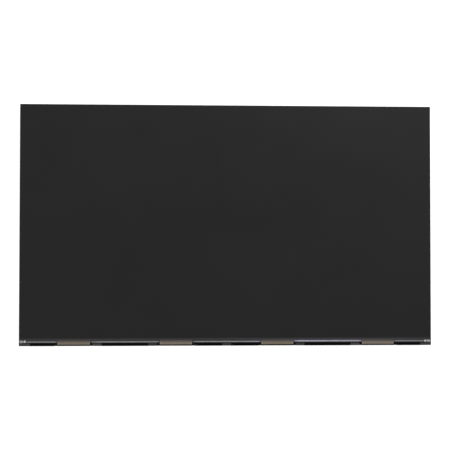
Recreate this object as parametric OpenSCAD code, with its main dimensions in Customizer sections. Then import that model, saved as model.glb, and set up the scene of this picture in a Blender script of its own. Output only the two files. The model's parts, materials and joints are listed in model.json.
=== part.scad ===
// Liquid crystal display module for a desktop screen, lying on its back.
// X runs along the long side, Y towards the top edge of the picture, Z out of the screen.
// The origin is the centre of the outline, on the plane that the back rests on.

/* [Picture area] */
// Width of the active picture area
active_w = 527.04; // [500:0.01:600]
// Height of the active picture area
active_h = 296.46; // [270:0.01:340]

/* [Borders] */
// Border left and right of the picture
side_border = 2.98; // [2.9:0.01:5]
// Border above the picture
top_border = 2.98; // [2.9:0.01:5]
// Border below the picture, with the glass ledge and the rim of the frame
bottom_border = 12; // [11.5:0.1:16]

/* [Cell] */
// Thickness of each sheet of glass
glass_t = 0.5; // [0.4:0.05:0.7]
// Thickness of each polarizer
polarizer_t = 0.2; // [0.12:0.01:0.25]
// From the outline's sides and top to the glass
cell_inset = 0.2; // [0.15:0.05:0.4]
// From the outline's bottom to the edge of the array glass
array_setback = 3.8; // [3.6:0.1:4.4]
// Bare ledge of the array glass below the colour filter glass
ledge_w = 4.4; // [4:0.1:5]
// Margin of the front polarizer inside the colour filter glass
polarizer_margin = 0.5; // [0.2:0.05:1]
// Corner chamfer of the glass
glass_chamfer = 0.6; // [0.2:0.1:1.2]

/* [Drive films] */
// Width of a drive film on the glass
film_w = 41.5; // [34:0.5:48]
// Width of a drive film on the board
film_tail_w = 36; // [30:0.5:40]
// Thickness of a drive film
film_t = 0.1; // [0.07:0.01:0.12]
// Length of a driver chip
chip_l = 24; // [16:0.5:28]
// Width of a driver chip
chip_w = 1.6; // [1:0.1:2]
// Thickness of a driver chip
chip_t = 0.5; // [0.3:0.05:0.6]

/* [Backlight] */
// Thickness of the light guide
guide_t = 2.5; // [2.2:0.1:3.5]
// Thickness of the reflector sheet
reflector_t = 0.25; // [0.15:0.05:0.35]
// Thickness of the diffuser sheet
diffuser_t = 0.2; // [0.1:0.05:0.3]
// Thickness of the prism sheet
prism_t = 0.25; // [0.15:0.05:0.35]
// Thickness of the recycling film
recycling_t = 0.3; // [0.2:0.05:0.4]
// Number of light emitting diodes
led_count = 48; // [40:2:56]
// Length of a diode package
led_l = 7; // [5:0.1:7.5]
// Height of a diode package
led_h = 1.8; // [1.4:0.1:2]
// Depth of a diode package
led_t = 0.8; // [0.6:0.05:1]

/* [Frame] */
// Wall of the moulded frame at the sides and the top
frame_wall = 1; // [0.8:0.05:1.2]
// Wall of the moulded frame at the bottom
frame_foot_wall = 1.4; // [1.3:0.05:1.6]
// Thickness of the shelf that carries the cell
shelf_t = 0.8; // [0.6:0.05:1.2]
// Thickness of the foam tape under the cell
foam_t = 0.4; // [0.3:0.05:0.6]
// Thickness of the black tapes and foils
tape_t = 0.1; // [0.05:0.01:0.12]
// Width of a bare clip boss on the rim
clip_w = 11; // [8:0.5:16]
// Width of the bare rim at each corner
corner_w = 14; // [10:0.5:22]

/* [Chassis] */
// Thickness of the pressed steel sheet
sheet_t = 0.6; // [0.5:0.05:0.8]
// Inner radius of the sheet's bends
bend_r = 0.4; // [0.2:0.05:0.45]
// Depth of the pressed ribs
rib_depth = 1.2; // [0.6:0.1:1.6]
// Width of the crest of a rib
rib_crest = 6; // [4:0.5:10]
// Radius of the corners of the ring rib
rib_corner_r = 20; // [14:1:30]
// Radius of the round rib in the middle
hub_rib_r = 30; // [20:1:36]

/* [Drive board] */
// Thickness of the circuit board
board_t = 0.8; // [0.6:0.1:1]
// Height of the board's long arms
arm_h = 11; // [9.5:0.5:13]
// Width of the middle part of the board
middle_w = 124; // [120:1:130]
// Height of the middle part of the board, arms included
middle_h = 40; // [38:0.5:42]
// Height of the pressed seats that the board is screwed to
seat_h = 0.4; // [0.3:0.05:0.5]
// Thickness of the metal of the shield
shield_t = 0.4; // [0.3:0.05:0.5]
// Radius of the small screws
screw_r = 0.9; // [0.7:0.05:1.1]
// Number of contacts of the signal connector
contact_count = 30; // [20:2:30]

/* [Mounting] */
// Height of the threaded standoffs on the back
standoff_h = 3.4; // [3.2:0.1:4.5]
// Outer radius of a standoff
standoff_r = 3; // [2.5:0.1:4]
// Radius of the threaded hole in a standoff
thread_r = 1.25; // [1:0.05:1.6]
// Distance between the standoffs along X
mount_pitch_x = 430; // [400:1:440]
// Distance between the standoffs along Y
mount_pitch_y = 210; // [208:1:216]

/* [Hidden] */
$fn = 64;

// Outline, with its edges as distances from the middle
module_w = active_w + 2 * side_border;
module_h = active_h + top_border + bottom_border;
edge_x = module_w / 2;
edge_y = module_h / 2;

// Heights of the stack, from the resting plane up to the screen
z_sheet = standoff_h;
z_reflector = z_sheet + sheet_t;
z_guide = z_reflector + reflector_t;
z_diffuser = z_guide + guide_t;
z_prism = z_diffuser + diffuser_t;
z_recycling = z_prism + prism_t;
sheet_slack = 0.15;
z_shelf = z_recycling + recycling_t + sheet_slack;
z_foam = z_shelf + shelf_t;
z_array = z_foam + foam_t;
z_filter = z_array + glass_t;
z_polarizer = z_filter + glass_t;
z_rim = z_filter - tape_t;
z_board = z_sheet - seat_h - board_t;

// Gaps between pieces that are only laid or pushed together
fit_gap = 0.1;
guide_gap = 0.5;
led_gap = 0.3;
bend_clear = 0.05;

// Drafted sides of everything pressed out of the sheet lie at 45 degrees
press_offset = sheet_t * tan(22.5);
shield_offset = shield_t * tan(22.5);

// Sections through the sides and the top, as distances in from the outline
frame_out = tape_t;
frame_in = frame_out + frame_wall;
flange_out = frame_in + fit_gap;
flange_in = flange_out + sheet_t;
guide_edge = flange_in + guide_gap;
sheet_edge = guide_edge + 0.1;

// Section through the bottom, as distances up from the outline
foot_in = frame_out + frame_foot_wall;
foot_flange_out = foot_in + fit_gap;
foot_flange_in = foot_flange_out + sheet_t;
thermal_t = 0.2;
strip_t = 0.25;
strip_edge = foot_flange_in + thermal_t;
led_edge = strip_edge + strip_t;
strip_low = z_reflector + bend_r + bend_clear;
strip_high = z_shelf - 0.4;
strip_half = edge_x - guide_edge - 1.5;
guide_foot = led_edge + led_t + led_gap;
rim_w = array_setback - 0.2;
filter_foot = array_setback + ledge_w;

// Window of the frame and what lies over its edge
window_margin = 0.3;
rear_overlap = 0.5;
foam_inset = 0.5;
foam_clear = 0.28;
foam_foot_w = 3;

// Drive films, a little closer together than the quarters of the picture that they drive
film_count = 4;
film_pitch = 0.995 * active_w / film_count;
film_inset = 0.05;
film_nose_gap = 0.15;
notch_side = 3.4;
notch_depth = film_inset + film_t + film_nose_gap;
notch_w = film_w + 2 * notch_side;
film_bend = z_filter - z_foam;
film_bend_v = film_inset + film_t + film_bend;
film_start = filter_foot - 0.8;
film_bond = 2.5;
board_foot = 6;
chip_v = 2.6;

// Hooks that hold the frame on the chassis
hook_l = 9;
hook_h = 1.2;
hook_reach = 0.5;
hook_clear = 0.1;
hook_z = z_reflector + 1.4;
top_hooks = 6;
side_hooks = 4;

// Backlight tail and its connector
tail_w = 14;
tail_inset = 12.5;
tail_x = -(edge_x - tail_inset);
tail_end = 24;
tail_bend = 0.4;
wafer_l = 10.5;
wafer_d = 5.6;
wafer_h = 2.5;
wafer_v = 15;
pin_count = 6;
pin_pitch = 1.25;
pin_w = 0.4;

// Board: its arms end clear of the tail
board_end_gap = 19;
arm_half = -tail_x - tail_w / 2 - board_end_gap;
board_corner = 2;
board_shoulder = 4;
sheet_margin = 1;
arm_top = board_foot + arm_h;
middle_top = board_foot + middle_h;
screw_clear = 0.05;
head_r = 2 * screw_r;
head_h = 0.8;
seat_r = 3;
arm_screw_v = board_foot + arm_h / 2;
arm_screw_inset = 4;
middle_screw_inset = [6, 5];
middle_screw_x = middle_w / 2 - middle_screw_inset[0];
middle_screw_v = middle_top - middle_screw_inset[1];
board_screw_spots = [
  for (s = [-1, 1]) [s * (arm_half - arm_screw_inset), arm_screw_v],
  for (s = [-1, 1]) [s * film_pitch, arm_screw_v],
  for (s = [-1, 1]) [s * middle_screw_x, middle_screw_v]
];
foil_w = 14;
foil_inset = 4.5;
foil_reach = 11;
foil_x = 1.22 * film_pitch;

// Shield
shield_w = middle_w + 6;
shield_foot = arm_top - 4;
shield_top = middle_top + 3;
shield_wall_low = arm_top + sheet_margin + board_shoulder + fit_gap;
shield_tab = 10;
tab_reach = 9;
shield_screw_spots = [
  for (s = [-1, 1])
    for (v = [shield_wall_low + shield_tab / 2, middle_top - 3]) [s * (shield_w / 2 + tab_reach / 2), v]
];

// Chips on the board: place along X and above the outline's bottom, and length, depth and height.
// Their places are shares of the middle part's width and height, or of an arm's length.
function middle_spot(across, high) = [across * middle_w, board_foot + high * middle_h];
timing_spot = middle_spot(-0.145, 0.6);
timing_size = [14, 14, 1];
chip_h = 0.85;
tall_h = 1.3;
power_spots = [
  [middle_spot(0.113, 0.55), [7, 7, chip_h]],
  [middle_spot(-0.355, 0.65), [5, 6, tall_h]],
  [middle_spot(0.274, 0.4), [5, 5, chip_h]],
  [middle_spot(-0.323, 0.35), [6, 6, chip_h]],
  for (s = [-1, 1]) [[s * 0.44 * arm_half, board_foot + 0.64 * arm_h], [9, 3, chip_h]]
];
inductor_spots = [middle_spot(0.371, 0.625), middle_spot(0.242, 0.6), middle_spot(0.371, 0.425)];
inductor_size = [5, 5, tall_h];
capacitor_size = [1.6, 0.8, 0.8];
dimple_w = 16;
dimple_depth = 0.35;

// Signal connector
contact_pitch = 1;
contact_w = 0.35;
plug_x = 24;
housing_l = (contact_count - 1) * contact_pitch + 7;
housing_d = 4.8;
housing_h = 1.45;
housing_v = middle_top - housing_d + 0.4;
shell_t = 0.12;

// Distances turned into coordinates
function up(v) = -edge_y + v;
function down(v) = edge_y - v;
function film_x(i) = (i - (film_count - 1) / 2) * film_pitch;

// A box between two corners
module block(low, high) {
  translate(low)
    cube(high - low);
}

// A box that reaches equally far left and right of X = 0
module strip(half, v_low, v_high, z_low, z_high) {
  block([-half, v_low, z_low], [half, v_high, z_high]);
}

// A profile drawn as distance up from the outline's bottom against height, carried along X
module along_x(x_low, x_high) {
  translate([x_low, -edge_y, 0])
    rotate([90, 0, 90])
      linear_extrude(x_high - x_low)
        children();
}

// A profile drawn as distance in from the outline's left side against height, carried along Y
module along_y(y_low, y_high) {
  translate([-edge_x, y_high, 0])
    rotate([90, 0, 0])
      linear_extrude(y_high - y_low)
        children();
}

// A profile drawn as distance in from the outline's top against height, carried along X
module along_top(x_low, x_high) {
  mirror([0, 1, 0])
    along_x(x_low, x_high)
      children();
}

// A quarter of a ring round a point, in the quadrant that the signs give
module quarter_ring(centre, r_in, r_out, sx, sy) {
  translate(centre)
    intersection() {
      difference() {
        circle(r_out);
        circle(r_in);
      }
      quadrant(sx, sy, r_out + 1);
    }
}

// A square that starts at the origin and lies in the quadrant that the signs give
module quadrant(sx, sy, size) {
  translate([sx > 0 ? 0 : -size, sy > 0 ? 0 : -size])
    square(size);
}

// A plate with chamfered corners between two corners in plan
module chamfered_plate(low, high, chamfer, z, t) {
  translate([0, 0, z])
    linear_extrude(t)
      polygon([
        [low[0] + chamfer, low[1]], [high[0] - chamfer, low[1]],
        [high[0], low[1] + chamfer], [high[0], high[1] - chamfer],
        [high[0] - chamfer, high[1]], [low[0] + chamfer, high[1]],
        [low[0], high[1] - chamfer], [low[0], low[1] + chamfer]
      ]);
}

// The cell: two sheets of glass between two polarizers

module front_polarizer() {
  inset = cell_inset + polarizer_margin;
  color([0.15, 0.15, 0.155])
    chamfered_plate(
      [-edge_x + inset, up(filter_foot + polarizer_margin)],
      [edge_x - inset, down(inset)],
      glass_chamfer, z_polarizer, polarizer_t
    );
}

module color_filter_glass() {
  color([0.22, 0.22, 0.23])
    chamfered_plate(
      [-edge_x + cell_inset, up(filter_foot)],
      [edge_x - cell_inset, down(cell_inset)],
      glass_chamfer, z_filter, glass_t
    );
}

module array_glass() {
  color([0.3, 0.3, 0.33])
    chamfered_plate(
      [-edge_x + cell_inset, up(array_setback)],
      [edge_x - cell_inset, down(cell_inset)],
      glass_chamfer, z_array, glass_t
    );
}

module rear_polarizer() {
  color([0.2, 0.2, 0.22])
    block(
      [-active_w / 2 - rear_overlap, up(bottom_border - rear_overlap), z_array - polarizer_t],
      [active_w / 2 + rear_overlap, down(top_border - rear_overlap), z_array]
    );
}

// Silver paste dots at both ends of the ledge
dot_r = 1.6;
dot_h = 0.4;
dot_x = edge_x - 7.4;
dot_v = array_setback + dot_r + 0.3;

// Clear sealant along the outer half of the ledge, in the gaps between the drive films and the dots.
// The beads from left to right differ in width and in how far they lie in from the edge of the glass:
// the dabs in the corners are the widest.
module ledge_sealant() {
  bead_insets = [0.3, 0.65, 0.7, 0.8, 1.3, 1, 0.55];
  bead_widths = [3.1, 1.8, 1.65, 1.7, 1.75, 1.7, 3];
  bead_t = 0.12;
  film_gap = 0.8;
  dot_gap = 0.3;
  end_inset = 0.3;
  outer_end = edge_x - cell_inset - end_inset;
  ends = [
    -outer_end, -dot_x - dot_r - dot_gap, -dot_x + dot_r + dot_gap,
    for (i = [0 : film_count - 1])
      for (s = [-1, 1]) film_x(i) + s * (film_w / 2 + film_gap),
    dot_x - dot_r - dot_gap, dot_x + dot_r + dot_gap, outer_end
  ];
  color([0.62, 0.62, 0.64])
    for (i = [0 : len(bead_widths) - 1]) {
      bead_low = array_setback + bead_insets[i];
      block(
        [ends[2 * i], up(bead_low), z_filter],
        [ends[2 * i + 1], up(bead_low + bead_widths[i]), z_filter + bead_t]
      );
    }
}

// Silver paste that earths the colour filter glass to the array glass, in two dots: each is a low cone
// with a flatter cone on it
module ground_dots() {
  shoulder_r = 0.8 * dot_r;
  crown_r = 0.35 * dot_r;
  color([0.75, 0.75, 0.76])
    for (s = [-1, 1])
      translate([s * dot_x, up(dot_v), z_filter])
        union() {
          cylinder(r1 = dot_r, r2 = shoulder_r, h = dot_h / 2);
          translate([0, 0, dot_h / 2])
            cylinder(r1 = shoulder_r, r2 = crown_r, h = dot_h / 2);
        }
}

// Drive films: bonded to the ledge, bent over the rim, down the wall and under the chassis to the board

module film_section() {
  z_low_bend = z_board + film_bend;
  translate([film_bend_v, z_filter])
    square([film_start - film_bend_v, film_t]);
  quarter_ring([film_bend_v, z_foam], film_bend, film_bend + film_t, -1, 1);
  translate([film_inset, z_low_bend])
    square([film_t, z_foam - z_low_bend]);
  quarter_ring([film_bend_v, z_low_bend], film_bend, film_bend + film_t, -1, -1);
  translate([film_bend_v, z_board - film_t])
    square([board_foot + film_bond - film_bend_v, film_t]);
}

// The film narrows towards the board along a slant on both sides
module drive_film(i) {
  taper_low = chip_v + chip_w + 0.2;
  taper_high = board_foot;
  tail_end_v = board_foot + film_bond + 1;
  spare = 1;
  color([0.44, 0.4, 0.36])
    difference() {
      along_x(film_x(i) - film_w / 2, film_x(i) + film_w / 2)
        film_section();
      for (s = [0, 1])
        translate([film_x(i), -edge_y, z_board - film_t - spare / 2])
          mirror([s, 0, 0])
            linear_extrude(film_t + spare)
              polygon([
                [film_w / 2, taper_low], [film_w / 2 + spare, taper_low],
                [film_w / 2 + spare, tail_end_v], [film_tail_w / 2, tail_end_v],
                [film_tail_w / 2, taper_high]
              ]);
    }
}

module driver_chip(i) {
  color([0.16, 0.16, 0.17])
    block(
      [film_x(i) - chip_l / 2, up(chip_v), z_board],
      [film_x(i) + chip_l / 2, up(chip_v + chip_w), z_board + chip_t]
    );
}

// Foam tape under the cell, in four strips
module cell_foam_tape() {
  side_high = side_border - rear_overlap - foam_clear;
  top_high = top_border - rear_overlap - foam_clear;
  foot_low = array_setback + 0.4;
  foot_high = foot_low + foam_foot_w;
  joint_gap = 0.4;
  z_high = z_foam + foam_t;
  color([0.1, 0.1, 0.1]) {
    strip(edge_x - foam_inset, up(foot_low), up(foot_high), z_foam, z_high);
    strip(edge_x - foam_inset, down(top_high), down(foam_inset), z_foam, z_high);
    for (s = [0, 1])
      mirror([s, 0, 0])
        block(
          [-edge_x + foam_inset, up(foot_high + joint_gap), z_foam],
          [-edge_x + side_high, down(top_high + joint_gap), z_high]
        );
  }
}

// Moulded frame

// Ends of the rim stretches, on the right half: between them lie the notches for the films
function notch_low(i) = film_x(i) - notch_w / 2;
function notch_high(i) = film_x(i) + notch_w / 2;

// Middles of the clip bosses along X
clip_margin = 0.2;
clip_spots = [
  notch_high(0) + clip_margin + clip_w / 2, notch_low(1) - clip_margin - clip_w / 2,
  0,
  notch_high(2) + clip_margin + clip_w / 2, notch_low(3) - clip_margin - clip_w / 2
];

// A hook with a ramp below and a catch above, reaching in from the wall, in section
module hook_section(wall) {
  polygon([
    [wall - fit_gap, hook_z], [wall, hook_z],
    [wall + hook_reach, hook_z + hook_h / 2], [wall + hook_reach, hook_z + hook_h],
    [wall - fit_gap, hook_z + hook_h]
  ]);
}

function hook_spot(i, count, length) = (i - (count - 1) / 2) * length / count;

module frame_hooks() {
  for (x = clip_spots)
    along_x(x - hook_l / 2, x + hook_l / 2)
      hook_section(foot_in);
  for (i = [0 : top_hooks - 1])
    along_top(hook_spot(i, top_hooks, module_w) - hook_l / 2, hook_spot(i, top_hooks, module_w) + hook_l / 2)
      hook_section(frame_in);
  for (i = [0 : side_hooks - 1])
    for (s = [0, 1])
      mirror([s, 0, 0])
        along_y(hook_spot(i, side_hooks, module_h) - hook_l / 2, hook_spot(i, side_hooks, module_h) + hook_l / 2)
          hook_section(frame_in);
}

// Rounded rest under each film, on the shelf
module film_rest(i) {
  nose_r = film_bend - film_nose_gap;
  rest_w = film_w - 1;
  along_x(film_x(i) - rest_w / 2, film_x(i) + rest_w / 2)
    union() {
      translate([film_bend_v, z_foam])
        intersection() {
          circle(nose_r);
          quadrant(-1, 1, nose_r + 1);
        }
      translate([film_bend_v, z_foam])
        square([rim_w - film_bend_v, nose_r]);
    }
}

// Pins that hold the ears of the optical sheets
ear_spots = [-1, 0, 1];
ear_pitch = 0.36 * active_w;
ear_l = 14;
ear_low = guide_foot + 2;
sheet_foot = bottom_border - 2.2;
ear_pin_v = (ear_low + sheet_foot) / 2 - 0.3;
pin_r = 0.9;
pin_clear = 0.3;

module middle_frame() {
  core_l = clip_w - 2;
  core_w = 1;
  core_low = 1.7;
  color([0.2, 0.2, 0.2]) {
    difference() {
      union() {
        difference() {
          block(
            [-edge_x + frame_out, up(frame_out), z_sheet],
            [edge_x - frame_out, down(frame_out), z_foam]
          );
          block(
            [-edge_x + frame_in, up(foot_in), z_sheet - 1],
            [edge_x - frame_in, down(frame_in), z_shelf]
          );
          block(
            [-active_w / 2 - window_margin, up(bottom_border - window_margin), z_shelf - 1],
            [active_w / 2 + window_margin, down(top_border - window_margin), z_foam + 1]
          );
        }
        strip(edge_x - frame_out, up(frame_out), up(rim_w), z_foam, z_rim);
        for (x = clip_spots)
          block([x - clip_w / 2, up(frame_out), z_rim], [x + clip_w / 2, up(rim_w), z_filter]);
      }
      for (i = [0 : film_count - 1]) {
        block([notch_low(i), up(-1), z_foam], [notch_high(i), up(rim_w + 1), z_filter + 1]);
        block([notch_low(i), up(-1), z_sheet - 1], [notch_high(i), up(notch_depth), z_foam + 1]);
      }
      for (x = clip_spots)
        block([x - core_l / 2, up(core_low), z_foam + 0.2], [x + core_l / 2, up(core_low + core_w), z_filter + 1]);
    }
    for (i = [0 : film_count - 1])
      film_rest(i);
    frame_hooks();
    for (e = ear_spots)
      translate([e * ear_pitch, up(ear_pin_v), z_diffuser + 0.05])
        cylinder(r = pin_r, h = z_shelf - z_diffuser);
  }
}

// Black tapes

// A tape that lies on the rim at the height z_seat and folds down over the wall, whose face lies at v_wall
module rim_tape(x_low, x_high, v_wall, z_seat) {
  leg_low = z_sheet + 0.6;
  v_out = v_wall - tape_t;
  along_x(x_low, x_high)
    polygon([
      [v_out, leg_low], [v_wall, leg_low], [v_wall, z_seat],
      [rim_w, z_seat], [rim_w, z_seat + tape_t], [v_out, z_seat + tape_t]
    ]);
}

// Tapes on the bare stretches of the rim, from the middle outwards, and in the notches beside each film
module rim_tapes() {
  tape_gap = 0.2;
  spans = [
    [clip_w / 2 + tape_gap, notch_low(2) - tape_gap],
    [clip_spots[3] + clip_w / 2 + tape_gap, clip_spots[4] - clip_w / 2 - tape_gap],
    [notch_high(3) + tape_gap, edge_x - corner_w]
  ];
  color([0.05, 0.05, 0.05])
    for (s = [0, 1])
      mirror([s, 0, 0]) {
        for (span = spans)
          rim_tape(span[0], span[1], frame_out, z_rim);
        for (i = [0 : film_count - 1])
          rim_tape(film_x(i) + film_w / 2 + tape_gap, notch_high(i) - tape_gap, notch_depth, z_foam);
      }
}

// Light-tight tape from the back of the chassis up the wall to the front glass
lap_back = 4;

module edge_tape_left() {
  color([0.06, 0.06, 0.06])
    union() {
      block([-edge_x, up(frame_out), z_sheet], [-edge_x + tape_t, down(tape_t), z_polarizer]);
      block([-edge_x, up(frame_out), z_sheet - tape_t], [-edge_x + lap_back, down(lap_back), z_sheet]);
    }
}

module edge_tape_right() {
  mirror([1, 0, 0])
    edge_tape_left();
}

module edge_tape_top() {
  color([0.06, 0.06, 0.06])
    union() {
      strip(edge_x, down(tape_t), down(0), z_sheet, z_polarizer);
      strip(edge_x, down(lap_back), down(0), z_sheet - tape_t, z_sheet);
    }
}

// Optical sheets and light guide

// A sheet with ears at its foot, each with a hole for a pin of the frame
module eared_sheet(z, t) {
  translate([0, 0, z])
    difference() {
      union() {
        block(
          [-edge_x + sheet_edge, up(sheet_foot), 0],
          [edge_x - sheet_edge, down(sheet_edge), t]
        );
        for (e = ear_spots)
          translate([e * ear_pitch, 0, 0])
            linear_extrude(t)
              polygon([
                [-ear_l / 2 - 2, up(sheet_foot)], [-ear_l / 2, up(sheet_foot - 1.5)],
                [-ear_l / 2 + 1, up(ear_low)], [ear_l / 2 - 1, up(ear_low)],
                [ear_l / 2, up(sheet_foot - 1.5)], [ear_l / 2 + 2, up(sheet_foot)]
              ]);
      }
      for (e = ear_spots)
        translate([e * ear_pitch, up(ear_pin_v), -1])
          cylinder(r = pin_r + pin_clear, h = t + 2);
    }
}

module recycling_film() {
  color([0.8, 0.82, 0.84])
    eared_sheet(z_recycling, recycling_t);
}

module prism_sheet() {
  color([0.86, 0.87, 0.88])
    eared_sheet(z_prism, prism_t);
}

module diffuser_sheet() {
  color([0.93, 0.93, 0.93])
    eared_sheet(z_diffuser, diffuser_t);
}

module light_guide() {
  color([0.82, 0.9, 0.9])
    block(
      [-edge_x + guide_edge, up(guide_foot), z_guide],
      [edge_x - guide_edge, down(guide_edge), z_diffuser]
    );
}

// Rubber pads that centre the light guide, and stops that keep it off the diodes
module guide_buffers() {
  pad_l = 18;
  pad_x = 0.6 * edge_x;
  pad_y = 0.6 * edge_y;
  stop_l = 4;
  z_low = strip_low;
  z_high = z_diffuser - 0.6;
  color([0.75, 0.75, 0.72])
    for (s = [0, 1])
      mirror([s, 0, 0]) {
        for (y = [-pad_y, pad_y])
          block([-edge_x + flange_in, y - pad_l / 2, z_low], [-edge_x + guide_edge, y + pad_l / 2, z_high]);
        block([pad_x, down(guide_edge), z_low], [pad_x + pad_l, down(flange_in), z_high]);
        block([edge_x - guide_edge - stop_l, up(led_edge), z_low], [edge_x - guide_edge, up(guide_foot), z_high]);
      }
}

module reflector_sheet() {
  color([0.95, 0.95, 0.95])
    block(
      [-edge_x + guide_edge, up(foot_flange_in + bend_r + 0.15), z_reflector],
      [edge_x - guide_edge, down(guide_edge), z_guide]
    );
}

// Light source

// Flexible strip that stands on its edge, with a tail bent through the chassis to the back
module led_strip() {
  bend_z = z_sheet + tail_bend;
  color([0.9, 0.9, 0.86])
    union() {
      strip(strip_half, up(strip_edge), up(led_edge), strip_low, strip_high);
      along_x(tail_x - tail_w / 2, tail_x + tail_w / 2)
        union() {
          translate([strip_edge, bend_z])
            square([strip_t, strip_high - bend_z]);
          quarter_ring([led_edge + tail_bend, bend_z], tail_bend, tail_bend + strip_t, -1, -1);
          translate([led_edge + tail_bend, z_sheet - strip_t])
            square([tail_end - led_edge - tail_bend, strip_t]);
        }
    }
}

module led_packages() {
  pocket = 0.3;
  rim = 0.35;
  end_inset = 7.5;
  first_x = -active_w / 2 + end_inset;
  pitch = (active_w - 2 * end_inset) / (led_count - 1);
  z_mid = z_guide + guide_t / 2;
  color([0.95, 0.93, 0.7])
    for (i = [0 : led_count - 1])
      difference() {
        block(
          [first_x + i * pitch - led_l / 2, up(led_edge), z_mid - led_h / 2],
          [first_x + i * pitch + led_l / 2, up(led_edge + led_t), z_mid + led_h / 2]
        );
        block(
          [first_x + i * pitch - led_l / 2 + rim, up(led_edge + led_t - pocket), z_mid - led_h / 2 + rim],
          [first_x + i * pitch + led_l / 2 - rim, up(led_edge + led_t + 1), z_mid + led_h / 2 - rim]
        );
      }
}

module thermal_tape() {
  color([0.6, 0.6, 0.65])
    strip(strip_half, up(foot_flange_in), up(strip_edge), strip_low, strip_high);
}

// Socket at the end of the tail
module backlight_connector() {
  wall = 0.5;
  z_high = z_sheet - strip_t;
  color([0.92, 0.9, 0.84])
    difference() {
      block(
        [tail_x - wafer_l / 2, up(wafer_v), z_high - wafer_h],
        [tail_x + wafer_l / 2, up(wafer_v + wafer_d), z_high]
      );
      block(
        [tail_x - wafer_l / 2 + wall, up(wafer_v + 1), z_high - wafer_h + wall],
        [tail_x + wafer_l / 2 - wall, up(wafer_v + wafer_d + 1), z_high - wall]
      );
      for (s = [-1, 1])
        block(
          [tail_x + s * wafer_l / 4 - 1, up(wafer_v + 2.4), z_high - wafer_h - 1],
          [tail_x + s * wafer_l / 4 + 1, up(wafer_v + wafer_d + 1), z_high - wafer_h + wall + 0.1]
        );
      for (i = [0 : pin_count - 1])
        backlight_pin_hole(i, z_high);
    }
}

function pin_x(i) = tail_x + (i - (pin_count - 1) / 2) * pin_pitch;

module backlight_pin_hole(i, z_high) {
  block(
    [pin_x(i) - pin_w / 2, up(wafer_v - 1), z_high - wafer_h / 2 - pin_w / 2],
    [pin_x(i) + pin_w / 2, up(wafer_v + 2), z_high - wafer_h / 2 + pin_w / 2]
  );
}

module backlight_pins() {
  z_high = z_sheet - strip_t;
  z_mid = z_high - wafer_h / 2;
  foot_l = 1.4;
  color([0.85, 0.75, 0.45])
    for (i = [0 : pin_count - 1])
      translate([pin_x(i) - pin_w / 2, -edge_y, 0])
        rotate([90, 0, 90])
          linear_extrude(pin_w)
            polygon([
              [wafer_v + wafer_d - 1, z_mid - pin_w / 2], [wafer_v + wafer_d - 1, z_mid + pin_w / 2],
              [wafer_v - pin_w, z_mid + pin_w / 2], [wafer_v - pin_w, z_high],
              [wafer_v - pin_w - foot_l, z_high], [wafer_v - pin_w - foot_l, z_high - 0.2],
              [wafer_v - 2 * pin_w, z_high - 0.2], [wafer_v - 2 * pin_w, z_mid - pin_w / 2]
            ]);
}

// Pressed steel chassis

// Half of the section of a rib: crest width, depth and slanted flank, drawn below height zero
module rib_half(crest, depth, spread) {
  polygon([
    [0, 0], [crest / 2 + depth * spread, 0],
    [crest / 2, -depth], [0, -depth]
  ]);
}

module rib_full(crest, depth, spread) {
  polygon([
    [-crest / 2 - depth * spread, 0], [crest / 2 + depth * spread, 0],
    [crest / 2, -depth], [-crest / 2, -depth]
  ]);
}

// A straight rib with round ends, from one point to another in plan
module straight_rib(from, to, crest, depth) {
  run = to - from;
  length = norm(run);
  translate([from[0], from[1], 0])
    rotate([0, 0, atan2(run[1], run[0])]) {
      rotate([90, 0, 90])
        linear_extrude(length)
          rib_full(crest, depth, 1);
      rotate([0, 0, 90])
        rotate_extrude(angle = 180)
          rib_half(crest, depth, 1);
      translate([length, 0, 0])
        rotate([0, 0, -90])
          rotate_extrude(angle = 180)
            rib_half(crest, depth, 1);
    }
}

// A rounded rectangle of rib round a centre: four straight runs and four quarter turns
module ring_rib(centre, half, corner_r, crest, depth) {
  straight_x = half[0] - corner_r;
  straight_y = half[1] - corner_r;
  translate([centre[0], centre[1], 0]) {
    for (s = [-1, 1]) {
      translate([-straight_x, s * half[1], 0])
        rotate([90, 0, 90])
          linear_extrude(2 * straight_x)
            rib_full(crest, depth, 1);
      translate([s * half[0], straight_y, 0])
        rotate([90, 0, 0])
          linear_extrude(2 * straight_y)
            rib_full(crest, depth, 1);
    }
    for (turn = [0 : 3])
      translate([(turn == 0 || turn == 3 ? 1 : -1) * straight_x, (turn < 2 ? 1 : -1) * straight_y, 0])
        rotate([0, 0, 90 * turn])
          rotate_extrude(angle = 90)
            translate([corner_r, 0])
              rib_full(crest, depth, 1);
  }
}

// A round rib
module hub_rib(centre, r, crest, depth) {
  translate([centre[0], centre[1], 0])
    rotate_extrude()
      translate([r, 0])
        rib_full(crest, depth, 1);
}

// Where the ribs lie
ring_board_gap = 20;
ring_top_inset = 24;
ring_side_inset = 31;
ring_low = up(middle_top + ring_board_gap);
ring_high = down(ring_top_inset);
ring_centre = [0, (ring_low + ring_high) / 2];
ring_half = [edge_x - ring_side_inset, (ring_high - ring_low) / 2];
brace_angle = 26;
brace_gap = 6;
brace_low = hub_rib_r + rib_crest + 2 * rib_depth + brace_gap;
brace_end_gap = 60;
brace_high = ring_half[1] / sin(brace_angle) - brace_end_gap;
upright_gap = 28;

module all_ribs(crest, depth) {
  ring_rib(ring_centre, ring_half, rib_corner_r, crest, depth);
  hub_rib(ring_centre, hub_rib_r, crest, depth);
  for (a = [brace_angle, 180 - brace_angle, 180 + brace_angle, -brace_angle])
    straight_rib(
      ring_centre + brace_low * [cos(a), sin(a)],
      ring_centre + brace_high * [cos(a), sin(a)],
      crest, depth
    );
  for (s = [-1, 1])
    straight_rib(
      ring_centre + s * [0, brace_low],
      ring_centre + s * [0, ring_half[1] - upright_gap],
      crest, depth
    );
}

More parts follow.
